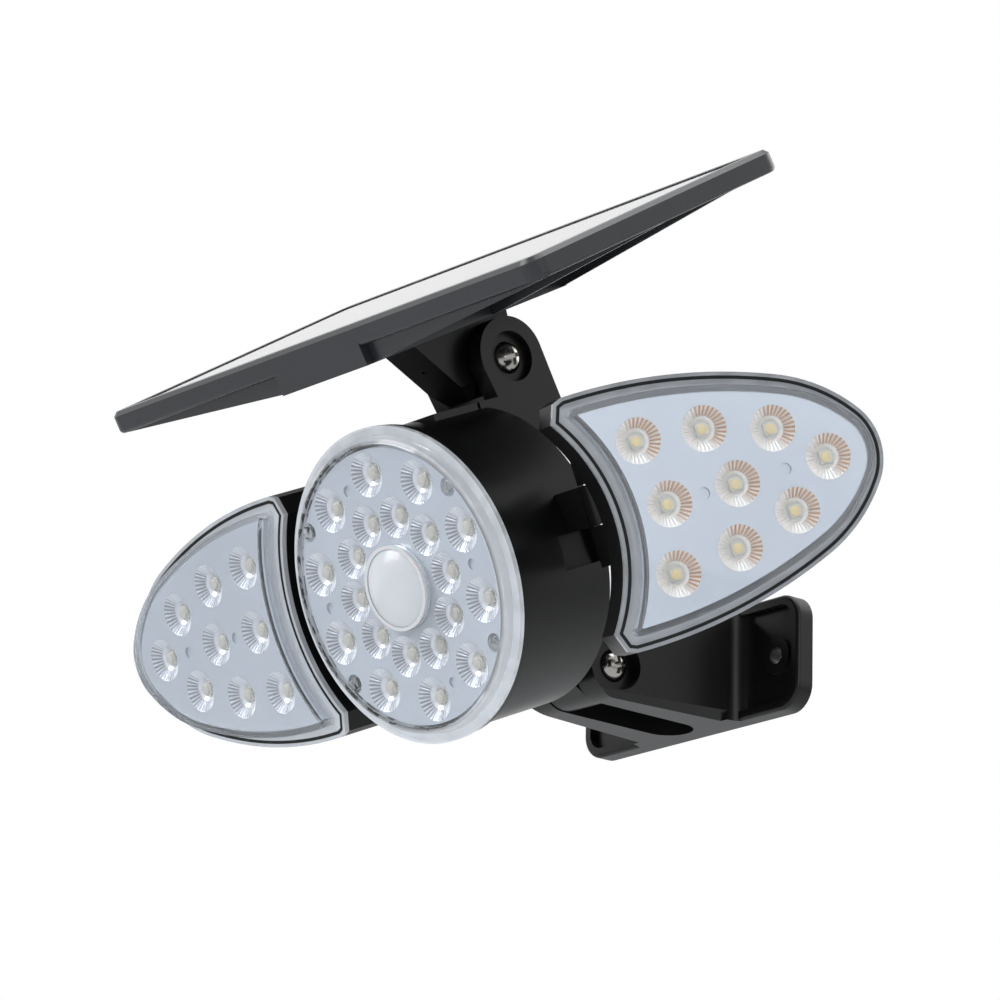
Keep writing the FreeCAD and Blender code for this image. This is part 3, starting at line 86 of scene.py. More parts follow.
# %% Place the camera
CAMERA_AT = Vector((1.1702, -1.0527, -0.4208))
CAMERA_BACK = Vector((0.7368, -0.6105, -0.2905)).normalized()
CAMERA_UP = Vector((0.2084, -0.2037, 0.9566))
LENS_MM, SENSOR_MM = 190.14, 36.0
camera_data = bpy.data.cameras.new("photo_camera")
camera_data.sensor_width = SENSOR_MM
camera_data.lens = LENS_MM
camera = bpy.data.objects.new("photo_camera", camera_data)
bpy.context.scene.collection.objects.link(camera)
camera_right = CAMERA_UP.cross(CAMERA_BACK).normalized()
camera_up = CAMERA_BACK.cross(camera_right)
axes = Matrix((camera_right, camera_up, CAMERA_BACK)).transposed()
camera.matrix_world = Matrix.Translation(CAMERA_AT) @ axes.to_4x4()
bpy.context.scene.camera = camera
print("camera:", tuple(round(v, 3) for v in camera.location), "lens", camera_data.lens)

# %% [markdown]
# ## Colour and nodes
# Colours are written as the hex codes of any paint program. Those are sRGB
# values, and a shader wants linear ones, so one function turns them. A second
# small function adds a node, sets it and links its inputs.

# %% Helpers for colour and for nodes
def linear(hex_code, alpha=1.0):
    """A hex colour such as '#a0b0c0' as linear RGBA."""
    digits = hex_code.lstrip("#")
    shares = [int(digits[i:i + 2], 16) / 255 for i in (0, 2, 4)]
    bent = [s / 12.92 if s <= 0.04045 else ((s + 0.055) / 1.055) ** 2.4 for s in shares]
    return (*bent, alpha)


def add_node(tree, kind, settings=None, values=None, links=None):
    """Add a node, set its properties and socket values, and link its inputs."""
    node = tree.nodes.new(kind)
    for key, value in (settings or {}).items():
        setattr(node, key, value)
    for key, value in (values or {}).items():
        node.inputs[key].default_value = value
    for key, source in (links or {}).items():
        tree.links.new(source, node.inputs[key])
    return node


def new_material(name, **values):
    """A material with one Principled shader, its sockets set by name."""
    material = bpy.data.materials.new(name)
    material.use_nodes = True
    tree = material.node_tree
    shader = tree.nodes["Principled BSDF"]
    for key, value in values.items():
        shader.inputs[key.replace("_", " ")].default_value = value
    return material, tree, shader


MIX_A, MIX_B, MIX_RESULT = 6, 7, 2    # a Mix node's colour sockets, by place


def per_mm(size):
    """Texture scale at which a pattern repeats about every size millimetres."""
    return 1.0 / (size * MM)


def grained(tree, shader, colours, roughness, grain_mm, cloud_mm, relief_mm, strength):
    """Give a shader two close colours, uneven gloss and a fine moulded grain."""
    place = add_node(tree, "ShaderNodeTexCoord").outputs["Object"]
    clouds = add_node(tree, "ShaderNodeTexNoise", None,
                      {"Scale": per_mm(cloud_mm), "Detail": 3.0}, {"Vector": place})
    tint = add_node(tree, "ShaderNodeMix", {"data_type": "RGBA"},
                    {MIX_A: linear(colours[0]), MIX_B: linear(colours[1])},
                    {"Factor": clouds.outputs["Fac"]})
    tree.links.new(tint.outputs[MIX_RESULT], shader.inputs["Base Color"])
    grain = add_node(tree, "ShaderNodeTexNoise", None,
                     {"Scale": per_mm(grain_mm), "Detail": 2.0}, {"Vector": place})
    gloss = add_node(tree, "ShaderNodeMapRange", None,
                     {"To Min": roughness[0], "To Max": roughness[1]},
                     {"Value": clouds.outputs["Fac"]})
    tree.links.new(gloss.outputs["Result"], shader.inputs["Roughness"])
    bump = add_node(tree, "ShaderNodeBump", None,
                    {"Strength": strength, "Distance": relief_mm * MM},
                    {"Height": grain.outputs["Fac"]})
    tree.links.new(bump.outputs["Normal"], shader.inputs["Normal"])
    return place, tint


def surface(name, colours, roughness, grain_mm, cloud_mm, relief_mm, strength, **values):
    """A new material with one grained Principled shader."""
    material, tree, shader = new_material(name, **values)
    grained(tree, shader, colours, roughness, grain_mm, cloud_mm, relief_mm, strength)
    return material


print("white is", linear("#ffffff")[:3], "mid grey is", round(linear("#808080")[0], 3))

# %% [markdown]
# ## The room
# Product photographs are lit by large soft boxes in a white room. The white
# that the camera and shiny surfaces see comes from the world alone, by asking
# the Light Path node what kind of ray is looking. Soft light on the lamp
# itself comes from four wide area lamps and a weaker world.

# %% World, floor and lamps
ROOM_LIGHT = 0.5
world = bpy.data.worlds.new("white_room")
bpy.context.scene.world = world
world.use_nodes = True
room = world.node_tree
room.nodes.clear()
ray = add_node(room, "ShaderNodeLightPath")
seen = add_node(room, "ShaderNodeMath", {"operation": "MAXIMUM"}, None,
                {0: ray.outputs["Is Camera Ray"], 1: ray.outputs["Is Glossy Ray"]})
shown = add_node(room, "ShaderNodeMath", {"operation": "MAXIMUM"}, None,
                 {0: seen.outputs[0], 1: ray.outputs["Is Transmission Ray"]})
dim = add_node(room, "ShaderNodeBackground", None,
               {"Color": linear("#eef1f5"), "Strength": ROOM_LIGHT})
white = add_node(room, "ShaderNodeBackground", None,
                 {"Color": linear("#ffffff"), "Strength": 1.0})
chosen = add_node(room, "ShaderNodeMixShader", None, None,
                  {0: shown.outputs[0], 1: dim.outputs[0], 2: white.outputs[0]})
add_node(room, "ShaderNodeOutputWorld", None, None, {"Surface": chosen.outputs[0]})

FLOOR_DROP, FLOOR_SIZE = 0.62, 14.0
bpy.ops.object.select_all(action="DESELECT")
bpy.ops.mesh.primitive_plane_add(size=FLOOR_SIZE, location=(0, 0, -FLOOR_DROP))
floor = bpy.context.object
floor.name = "studio_floor"
paper = surface("studio_paper", ("#eceded", "#f2f2f1"), (0.85, 0.95),
                grain_mm=3.0, cloud_mm=400.0, relief_mm=0.05, strength=0.1,
                Specular_IOR_Level=0.2)
floor.data.materials.append(paper)

LAMPS = (                       # name, place and side in metres, watts
    ("key_box", (-1.3, -2.3, 1.5), 1.6, 46.0),
    ("fill_box", (2.4, -1.0, 0.7), 1.6, 16.0),
    ("top_box", (0.3, -0.2, 2.3), 1.8, 26.0),
    ("back_box", (0.2, 1.9, 1.0), 1.6, 16.0),
)
AIM = Vector((0.0, -0.09, 0.03))
for name, place, size, watts in LAMPS:
    lamp_data = bpy.data.lights.new(name, "AREA")
    lamp_data.shape = "SQUARE"
    lamp_data.size = size
    lamp_data.energy = watts
    lamp = bpy.data.objects.new(name, lamp_data)
    bpy.context.scene.collection.objects.link(lamp)
    lamp.location = place
    lamp.rotation_euler = (AIM - Vector(place)).to_track_quat("-Z", "Y").to_euler()
    print(name, "at", place, watts, "W")
bpy.context.scene.view_settings.view_transform = "Standard"

# %% [markdown]
# ## Black shells: injection-moulded ABS
# The housing, wings, bracket and panel tray are ABS plastic, moulded in steel
# tools whose surface was etched by sparks. That leaves a satin gloss, which
# drifts a little from place to place, and a grain finer than a pixel. It is
# drawn at about half a millimetre so that it shows, as bump and not geometry.

# %% Black, dark grey and inner ABS
abs_black = surface("moulded_black_abs", ("#0c0c0d", "#131314"), (0.26, 0.38),
                    grain_mm=0.55, cloud_mm=28.0, relief_mm=0.03, strength=0.35,
                    IOR=1.52, Specular_IOR_Level=0.26)
abs_grey = surface("moulded_dark_grey_abs", ("#212327", "#2a2c30"), (0.24, 0.36),
                   grain_mm=0.55, cloud_mm=30.0, relief_mm=0.03, strength=0.35,
                   IOR=1.52, Specular_IOR_Level=0.4)
abs_inner = surface("moulded_grey_holder_abs", ("#55585b", "#5d6063"), (0.45, 0.6),
                    grain_mm=0.7, cloud_mm=22.0, relief_mm=0.04, strength=0.5, IOR=1.52)
print("plastics:", abs_black.name, abs_grey.name, abs_inner.name)

# %% [markdown]
# ## Clear covers: moulded polycarbonate
# The three covers are water-clear polycarbonate with polished faces. Real
# light passes through and shows the reflectors behind. A ray tracer's shadow
# rays stop at glass, which would leave the reflectors dark, so those rays
# alone find the cover open. Very faint waves in the surface bend reflections
# as flow in the mould does.

# %% Clear polycarbonate, solar glass and silicone
# Painted sheen: an opaque whitish coat, mixed into the clear covers at their rims and flanges,
# stands in for their bright edge highlights; the left wing gets more of it than the right.
SHEEN_PAINT_COLOUR, SHEEN_PAINT_ROUGHNESS = "#dfe3e9", 0.22


def own_axes(tree, place, matrix):
    """Object coordinates turned into a piece's own frame, in mm, as X, Y and Z."""
    turned = add_node(tree, "ShaderNodeMapping", {"vector_type": "TEXTURE"},
                      {"Location": matrix.translation,
                       "Rotation": matrix.to_euler(), "Scale": (MM, MM, MM)},
                      {"Vector": place})
    return add_node(tree, "ShaderNodeSeparateXYZ", None, None, {0: turned.outputs["Vector"]})


def rim_painted_sheen(matrix, start_mm, end_mm, most):
    """Painted sheen: a whitish coat outside a radius, for the round cover."""
    def build(tree, place):
        axes = own_axes(tree, place, matrix)
        flat = add_node(tree, "ShaderNodeCombineXYZ", None, None,
                        {"X": axes.outputs["X"], "Y": axes.outputs["Z"]})
        radius = add_node(tree, "ShaderNodeVectorMath", {"operation": "LENGTH"}, None,
                          {0: flat.outputs[0]})
        return add_node(tree, "ShaderNodeMapRange", None,
                        {"From Min": start_mm, "From Max": end_mm, "To Max": most},
                        {"Value": radius.outputs["Value"]}).outputs[0]
    return build


def flange_painted_sheen(matrix, start_mm, end_mm, most):
    """Painted sheen: a whitish coat on the flange and the foot of the wall, for a wing's cover."""
    def build(tree, place):
        axes = own_axes(tree, place, matrix)
        return add_node(tree, "ShaderNodeMapRange", None,
                        {"From Min": start_mm, "From Max": end_mm, "To Max": most},
                        {"Value": axes.outputs["Y"]}).outputs[0]
    return build


def clear(name, ior, colour, roughness, wave_mm, relief_mm, painted_sheen=None):
    """A clear material that lets shadow rays through, with a whitish painted sheen where the given
    function puts it.
    """
    material, tree, shader = new_material(name, IOR=ior, Roughness=roughness,
                                          Transmission_Weight=1.0)
    shader.inputs["Base Color"].default_value = linear(colour)
    place = add_node(tree, "ShaderNodeTexCoord").outputs["Object"]
    waves = add_node(tree, "ShaderNodeTexNoise", None,
                     {"Scale": per_mm(wave_mm), "Detail": 1.0}, {"Vector": place})
    bump = add_node(tree, "ShaderNodeBump", None,
                    {"Strength": 0.25, "Distance": relief_mm * MM},
                    {"Height": waves.outputs["Fac"]})
    tree.links.new(bump.outputs["Normal"], shader.inputs["Normal"])
    path = add_node(tree, "ShaderNodeLightPath")
    open_air = add_node(tree, "ShaderNodeBsdfTransparent", None,
                        {"Color": linear(colour)})
    body = shader.outputs["BSDF"]
    if painted_sheen:
        sheen_coat = add_node(tree, "ShaderNodeBsdfPrincipled", None,
                         {"Base Color": linear(SHEEN_PAINT_COLOUR), "Roughness": SHEEN_PAINT_ROUGHNESS},
                         {"Normal": bump.outputs["Normal"]})
        body = add_node(tree, "ShaderNodeMixShader", None, None,
                        {0: painted_sheen(tree, place), 1: body, 2: sheen_coat.outputs["BSDF"]}).outputs[0]
    mixed = add_node(tree, "ShaderNodeMixShader", None, None,
                     {0: path.outputs["Is Shadow Ray"], 1: body,
                      2: open_air.outputs["BSDF"]})
    tree.links.new(mixed.outputs["Shader"], tree.nodes["Material Output"].inputs["Surface"])
    return material


COVER = (1.45, "#f7f9fb", 0.02, 14.0, 0.02)
head_clear = clear("moulded_clear_polycarbonate_head", *COVER,
                   painted_sheen=rim_painted_sheen(HEAD, 42.6, 44.2, 0.7))
right_clear = clear("moulded_clear_polycarbonate_right", *COVER,
                    painted_sheen=flange_painted_sheen(RIGHT, -3.5, 0.6, 0.36))
left_clear = clear("moulded_clear_polycarbonate_left", *COVER,
                   painted_sheen=flange_painted_sheen(LEFT, -3.5, 0.6, 0.62))
dome_clear = clear("cast_clear_silicone", 1.28, "#fbfaf6", 0.03, 3.0, 0.01)
panel_glass = clear("tempered_solar_glass", 1.5, "#eef3f2", 0.04, 5.0, 0.01)
print("clear finishes:", head_clear.name, dome_clear.name, panel_glass.name)

# %% [markdown]
# ## The sensor's dome and collar: white polyethylene
# Infrared passes through thin polyethylene that looks milky to the eye. Light
# wanders inside it before it leaves, so it is given a little subsurface
# scattering and a waxy gloss. The collar round the dome has the same finish.

# %% Milky polyethylene
milk = surface("moulded_milky_polyethylene", ("#ccd0d5", "#d5d8dd"), (0.16, 0.24),
               grain_mm=1.2, cloud_mm=9.0, relief_mm=0.02, strength=0.25,
               IOR=1.5, Subsurface_Weight=0.35, Subsurface_Scale=0.002)
print("dome:", milk.name)

# %% [markdown]
# ## Reflectors: metallised plastic
# Each reflector plate is ABS with a thin satin coat of vacuum-laid aluminium
# under lacquer. Between the cups it scatters light softly, and in the polished
# flutes of the cups it is nearly a mirror.

# %% Satin plate and bright flutes
satin_plate = surface("vacuum_metallised_satin_abs", ("#b9c0ca", "#c5cbd4"), (0.3, 0.42),
                      grain_mm=0.8, cloud_mm=30.0, relief_mm=0.02, strength=0.35,
                      Metallic=0.35, Specular_IOR_Level=0.4)


def fluted(name, crest, valley_painted_light):
    """A bright coat whose valleys, marked by the mesh, take the valley colour: painted shade when
    it is darker, a painted reflection when it is warmer.
    """
    material, tree, shader = new_material(name, Metallic=0.45)
    tint = grained(tree, shader, (crest, crest), (0.16, 0.26),
                   grain_mm=1.5, cloud_mm=4.0, relief_mm=0.01, strength=0.3)[1]
    valley_light_mark = add_node(tree, "ShaderNodeAttribute", {"attribute_name": "valley_painted_light"})
    valley_light_painted = add_node(tree, "ShaderNodeMix", {"data_type": "RGBA"}, {MIX_B: linear(valley_painted_light)},
                     {"Factor": valley_light_mark.outputs["Fac"], MIX_A: tint.outputs[MIX_RESULT]})
    tree.links.new(valley_light_painted.outputs[MIX_RESULT], shader.inputs["Base Color"])
    return material


# Painted light in the flute valleys: grey painted shade for the head and the left wing, and an
# amber painted reflection of the LEDs' phosphor for the right wing.
flutes_with_painted_shade = fluted("vacuum_metallised_abs_with_painted_shade", "#eceef4", "#6f7682")
flutes_with_painted_reflection = fluted("vacuum_metallised_abs_with_painted_reflection", "#f6f4f2", "#b5772c")
print("reflectors:", satin_plate.name, flutes_with_painted_shade.name, flutes_with_painted_reflection.name)

# %% [markdown]
# ## The LEDs and their boards
# A white LED is a small ceramic block with a yellow phosphor that turns blue
# light white. It sits on an aluminium board under white solder resist. The
# control board is the usual green glass epoxy.

# %% Phosphor, ceramic, solder resist and circuit board
phosphor = surface("cast_yellow_phosphor", ("#fbe3a6", "#fff0c4"), (0.3, 0.45),
                   grain_mm=0.25, cloud_mm=1.2, relief_mm=0.02, strength=0.4, IOR=1.45)
# Painted light: the head and the left wing get a paler, greyer copy of the same phosphor, for how
# the light falls on those LEDs; the right wing keeps the yellow.
phosphor_painted_paler = surface("cast_phosphor_painted_paler", ("#d3d0cb", "#dedbd6"), (0.3, 0.45),
                        grain_mm=0.25, cloud_mm=1.2, relief_mm=0.02, strength=0.4, IOR=1.45)
ceramic = surface("fired_white_ceramic", ("#e8e6df", "#f0eee8"), (0.35, 0.5),
                  grain_mm=0.2, cloud_mm=1.5, relief_mm=0.01, strength=0.3, IOR=1.6)
resist_white = surface("printed_white_solder_resist", ("#dcdfe1", "#e6e8ea"), (0.3, 0.42),
                       grain_mm=0.4, cloud_mm=12.0, relief_mm=0.02, strength=0.3, IOR=1.5)
resist_green, tree, shader = new_material("printed_green_solder_resist", IOR=1.5)
place, tint = grained(tree, shader, ("#14502c", "#1a6136"), (0.22, 0.35),
                      grain_mm=0.5, cloud_mm=9.0, relief_mm=0.02, strength=0.3)
TRACK_MM = 6.0                  # length of one copper field between tracks
tracks = add_node(tree, "ShaderNodeTexBrick", {"offset": 0.5},
                  {"Color1": linear("#1d6c3d"), "Color2": linear("#185a33"),
                   "Mortar": linear("#0f3f22"), "Scale": per_mm(TRACK_MM),
                   "Mortar Size": 0.08}, {"Vector": place})
traced = add_node(tree, "ShaderNodeMix", {"data_type": "RGBA"}, {"Factor": 0.6},
                  {MIX_A: tint.outputs[MIX_RESULT], MIX_B: tracks.outputs["Color"]})
tree.links.new(traced.outputs[MIX_RESULT], shader.inputs["Base Color"])
print("boards:", resist_white.name, resist_green.name)

# %% [markdown]
# ## Metal, rubber and battery wrap
# The pivot screws are nickel-plated steel, turned and then barrel-polished,
# which leaves a bright, slightly uneven face. The hinge pins are zinc-plated. Seals and
# the button are silicone rubber, which is dull and slightly dusty.

# %% Nickel, zinc, rubber and wrap
nickel = surface("plated_nickel_on_steel", ("#8f8d89", "#a5a39f"), (0.12, 0.24),
                 grain_mm=0.35, cloud_mm=2.5, relief_mm=0.01, strength=0.5, Metallic=1.0)
zinc = surface("plated_zinc_on_steel", ("#a3a8ab", "#b7babb"), (0.28, 0.42),
               grain_mm=0.3, cloud_mm=3.0, relief_mm=0.01, strength=0.4, Metallic=1.0)
sensor_metal = surface("drawn_nickel_can", ("#c3c2bd", "#d2d0ca"), (0.2, 0.3),
                       grain_mm=0.5, cloud_mm=3.0, relief_mm=0.01, strength=0.3, Metallic=1.0)
rubber_black = surface("moulded_black_silicone", ("#101214", "#191b1e"), (0.55, 0.7),
                       grain_mm=0.4, cloud_mm=8.0, relief_mm=0.03, strength=0.5,
                       IOR=1.41, Specular_IOR_Level=0.3)
rubber_grey = surface("moulded_grey_silicone", ("#4a4d51", "#565a5e"), (0.5, 0.66),
                      grain_mm=0.4, cloud_mm=6.0, relief_mm=0.03, strength=0.5, IOR=1.41)
wrap = surface("shrunk_blue_pvc_sleeve", ("#1c5f9e", "#2470b4"), (0.18, 0.3),
               grain_mm=2.0, cloud_mm=14.0, relief_mm=0.04, strength=0.3, IOR=1.53)
print("metals:", nickel.name, zinc.name, sensor_metal.name)

# %% [markdown]
# ## Solar cells
# The panel is made of monocrystalline silicon wafers, cut in strips and laid
# side by side under glass. Each strip is nearly black blue, with silver
# fingers printed every 2 mm, two busbars across them, and a white gap to its
# neighbours. The pattern belongs to the panel, so the object's coordinates
# are turned into the panel's own before it is drawn.

# %% Wafers with fingers and busbars
STRIP_PITCH, ROW_PITCH = 18.9, 47.8       # one wafer and its gap, mm
GAP_MM, FINGER_PITCH, FINGER_MM = 0.9, 2.0, 0.22
BUSBAR_MM = 0.7
CRYSTAL_MM = 16.0                         # size of the cloudy patches in a wafer
cells, tree, shader = new_material("cut_monocrystalline_silicon", IOR=1.5,
                                   Specular_IOR_Level=0.5)
place = add_node(tree, "ShaderNodeTexCoord").outputs["Object"]
panel_xyz = own_axes(tree, place, PANEL)


def stripes(tree, source, pitch, width):
    """1 within width of each multiple of pitch along a coordinate, else 0."""
    folded = add_node(tree, "ShaderNodeMath", {"operation": "PINGPONG"},
                      {1: pitch / 2}, {0: source})
    return add_node(tree, "ShaderNodeMath", {"operation": "LESS_THAN"},
                    {1: width / 2}, {0: folded.outputs[0]}).outputs[0]


gap_x = stripes(tree, panel_xyz.outputs["X"], STRIP_PITCH, GAP_MM)
gap_y = stripes(tree, panel_xyz.outputs["Y"], ROW_PITCH, GAP_MM)
fingers = stripes(tree, panel_xyz.outputs["Y"], FINGER_PITCH, FINGER_MM)
bars = stripes(tree, panel_xyz.outputs["X"], STRIP_PITCH / 3, BUSBAR_MM)
gaps = add_node(tree, "ShaderNodeMath", {"operation": "MAXIMUM"}, None, {0: gap_x, 1: gap_y})
silver = add_node(tree, "ShaderNodeMath", {"operation": "MAXIMUM"}, None,
                  {0: fingers, 1: bars})
crystal = add_node(tree, "ShaderNodeTexNoise", None,
                   {"Scale": per_mm(CRYSTAL_MM), "Detail": 2.0}, {"Vector": place})
silicon = add_node(tree, "ShaderNodeMix", {"data_type": "RGBA"},
                   {MIX_A: linear("#0c1322"), MIX_B: linear("#18233c")},
                   {"Factor": crystal.outputs["Fac"]})
printed = add_node(tree, "ShaderNodeMix", {"data_type": "RGBA"}, {MIX_B: linear("#8d949c")},
                   {"Factor": silver.outputs[0], MIX_A: silicon.outputs[MIX_RESULT]})
sheet = add_node(tree, "ShaderNodeMix", {"data_type": "RGBA"}, {MIX_B: linear("#d5d8da")},
                 {"Factor": gaps.outputs[0], MIX_A: printed.outputs[MIX_RESULT]})
tree.links.new(sheet.outputs[MIX_RESULT], shader.inputs["Base Color"])
dull = add_node(tree, "ShaderNodeMapRange", None, {"To Min": 0.25, "To Max": 0.4},
                {"Value": crystal.outputs["Fac"]})
tree.links.new(dull.outputs["Result"], shader.inputs["Roughness"])
print("wafers of", STRIP_PITCH, "by", ROW_PITCH, "mm")

# %% [markdown]
# ## Dressing the CAD nodes
# The CAD solids have the right shape already, so each keeps its mesh and only
# changes its material.

# %% Give every CAD node its finish
WING = {"wing_shell": abs_black, "wing_seal": rubber_black,
        "wing_reflector": satin_plate, "wing_leds": ceramic, "wing_led_board": resist_white,
        "wing_screws": nickel, "wing_hinge_pin": zinc, "hinge_arm": abs_black}
FINISH = {
    "wall_bracket": abs_black, "head_pivot_screw": nickel, "head_pivot_nut": nickel,
    "head_housing": abs_black, "rear_cover": abs_black, "rear_cover_screws": nickel,
    "lens_seal": rubber_black, "head_lens": head_clear, "head_reflector": satin_plate,
    "head_leds": ceramic, "head_led_board": resist_white, "sensor_collar": milk,
    "sensor_dome": milk, "motion_sensor": sensor_metal, "control_board": resist_green,
    "battery_holder": abs_inner, "battery_cells": wrap, "mode_switch": resist_green,
    "mode_button": rubber_grey, "panel_pivot_screw": nickel, "panel_pivot_nut": nickel,
    "panel_tray": abs_grey, "panel_bezel": abs_grey, "solar_glass": panel_glass,
    "solar_cells": cells, "panel_arm": abs_black, "panel_arm_screws": nickel,
}
for side in ("right", "left"):
    for name, finish in WING.items():
        FINISH[side + "_" + name] = finish
FINISH["right_wing_lens"], FINISH["left_wing_lens"] = right_clear, left_clear
for name, node in nodes.items():
    node.data.materials.clear()
    node.data.materials.append(FINISH[name])
print("dressed", len(nodes), "CAD nodes with", len(set(FINISH.values())), "finishes")

# %% [markdown]
# ## Fluted cups
# Each LED sits in a round cup whose wall is cut into fine flutes, which break
# its light up evenly. The CAD cups are smooth cones, so one fluted wall is
# modelled from a circle, drawn inwards ring by ring in edit mode. Every
# fourth column of points is then pulled in, and the finished wall is copied
# to each cup just inside the cone.

# %% Model one fluted cup and copy it
CUP_R, SMALL_CUP_R, CUP_FOOT_R, CUP_DEPTH = 6.8, 6.3, 2.7, 3.2
COLUMNS_PER_FLUTE = 4
COLUMNS = 30 * COLUMNS_PER_FLUTE    # 30 flutes, coarser than real ones so they show
SKIN = 0.06                     # the wall stands this far inside the cone
RINGS = (0.05, 0.35, 0.66, 0.72, 1.0)    # how far in and down each ring lies, after the rim


def cup_wall(name, rim_r):
    """A plain cup wall that opens towards -Y, its rim in the plane y = 0, in mm."""
    bpy.ops.object.select_all(action="DESELECT")
    bpy.ops.mesh.primitive_circle_add(vertices=COLUMNS, radius=rim_r - SKIN,
                                      rotation=(math.radians(90), 0, 0))
    cup = bpy.context.object
    cup.name = name
    bpy.ops.object.transform_apply(location=False, rotation=True, scale=False)
    bpy.ops.object.mode_set(mode="EDIT")
    bpy.ops.mesh.select_all(action="SELECT")
    radius = rim_r - SKIN
    depth = 0.0
    for share in RINGS:
        new_radius = rim_r - SKIN - (rim_r - CUP_FOOT_R) * share
        new_depth = (CUP_DEPTH - SKIN) * share
        shrink = new_radius / radius
        bpy.ops.mesh.extrude_region_move(
            TRANSFORM_OT_translate={"value": (0, new_depth - depth, 0)})
        bpy.ops.transform.resize(value=(shrink, 1, shrink), center_override=(0, new_depth, 0))
        radius, depth = new_radius, new_depth
    bpy.ops.object.mode_set(mode="OBJECT")
    return cup


large_cup = cup_wall("cup_model", CUP_R)
print("one cup:", len(large_cup.data.vertices), "points")

# %% [markdown]
# A flute is a shallow valley between two crests. Pulling every fourth column
# of points inwards, but not at the rim or the foot, makes the crests. Each point
# also gets a mark for the light painted into its valley: painted shade in most
# cups, a painted warm reflection in the right wing's, strongest on one side. Pulling every fourth
# column
# of points inwards, but not at the rim or the foot, makes the crests.

# %% Cut the flutes and copy the cup to every LED
FLUTE_RISE = 0.42               # mm that a crest stands in from the wall
PAINTED_VALLEY_MARKS = (0.0, 0.45, 1.0, 0.45)     # painted light from a crest across a valley to the next
SHADE_BASE, SHADE_GAIN = 0.35, 1.9        # mark of the wall across the light, its slope


def flute(cup):
    """Pull every fourth column of a cup wall's points in, and mark the valleys for painted light.
    """
    last_ring = len(cup.data.vertices) - 2 * COLUMNS
    valley_light_marks = cup.data.attributes.new("valley_painted_light", "FLOAT", "POINT")
    for index, vertex in enumerate(cup.data.vertices):
        step = index % COLUMNS_PER_FLUTE
        if COLUMNS <= index < last_ring and step == 0:
            reach = math.hypot(vertex.co.x, vertex.co.z)
            vertex.co.x *= 1 - FLUTE_RISE / reach
            vertex.co.z *= 1 - FLUTE_RISE / reach
        if index < last_ring:
            valley_light_marks.data[index].value = PAINTED_VALLEY_MARKS[step]


def shade_side(cup, direction):
    """A copy of a fluted cup, the painted light in its valleys kept most where they face a
    direction.
    """
    copy = cup.copy()
    copy.data = cup.data.copy()
    bpy.context.scene.collection.objects.link(copy)
    valley_light_marks = copy.data.attributes["valley_painted_light"]
    for index, vertex in enumerate(copy.data.vertices):
        reach = math.hypot(vertex.co.x, vertex.co.z)
        facing = (vertex.co.x * direction[0] + vertex.co.z * direction[1]) / reach
        share = SHADE_BASE + SHADE_GAIN * facing
        valley_light_marks.data[index].value *= min(1.0, max(0.0, share))
    return copy


def copies(model, name, places, matrix, body, finish):
    """One object with a copy of the model's mesh at each (x, y, z), in mm."""
    made = []
    for x, y, z in places:
        copy = model.copy()
        copy.data = model.data.copy()
        copy.data.transform(matrix @ Matrix.Translation((x, y, z)))
        bpy.context.scene.collection.objects.link(copy)
        made.append(copy)
    bpy.ops.object.select_all(action="DESELECT")
    for copy in made:
        copy.select_set(True)
    bpy.context.view_layer.objects.active = made[0]
    bpy.ops.object.join()
    piece = bpy.context.object
    piece.name = name
    return settle(piece, body, finish)


def settle(piece, body, finish, angle=30.0):
    """Smooth a piece, paint it and let it ride on a body."""
    bpy.ops.object.select_all(action="DESELECT")
    piece.select_set(True)
    bpy.context.view_layer.objects.active = piece
    bpy.ops.object.shade_smooth_by_angle(angle=math.radians(angle))
    piece.data.materials.clear()
    piece.data.materials.append(finish)
    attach(piece, body)
    print(piece.name, "faces:", len(piece.data.polygons), "rides on", body)
    return piece


def on_ring(radius, turn_degrees):
    """A point on a circle round the head's axis."""
    turn = math.radians(turn_degrees)
    return radius * math.cos(turn), radius * math.sin(turn)


HEAD_PLATE_Y, WING_PLATE_Y = -1.9, -2.3      # fronts of the reflector plates
RING_CUPS, CUP_STEP = 10, 36                 # cups in a ring, degrees between them
OUTER_CUPS = [on_ring(34.5, 90 + CUP_STEP * n) for n in range(RING_CUPS)]
INNER_CUPS = [on_ring(21.1, 72 + CUP_STEP * n) for n in range(RING_CUPS)]
WING_PAIRS = ((65.0, 19.8), (84.8, 17.8), (104.5, 12.3))
WING_CUPS = [(x, s * z) for x, z in WING_PAIRS for s in (1, -1)]
WING_CUPS += [(x, 0.0) for x in (68.5, 89.6, 118.0)]
LEFT_CUPS = [(-x, z) for x, z in WING_CUPS]
small_cup = cup_wall("small_cup_model", SMALL_CUP_R)
for cup in (large_cup, small_cup):
    flute(cup)
    if cup.data.polygons[0].normal.y > 0:
        cup.data.flip_normals()
PAINTED_ON_LEFT, PAINTED_ON_RIGHT = (-0.9, -0.43), (0.94, 0.34)    # x, z of the side whose valleys keep the painted light
painted_shade_left = shade_side(large_cup, PAINTED_ON_LEFT)
small_painted_shade_left = shade_side(small_cup, PAINTED_ON_LEFT)
painted_reflection_right = shade_side(large_cup, PAINTED_ON_RIGHT)
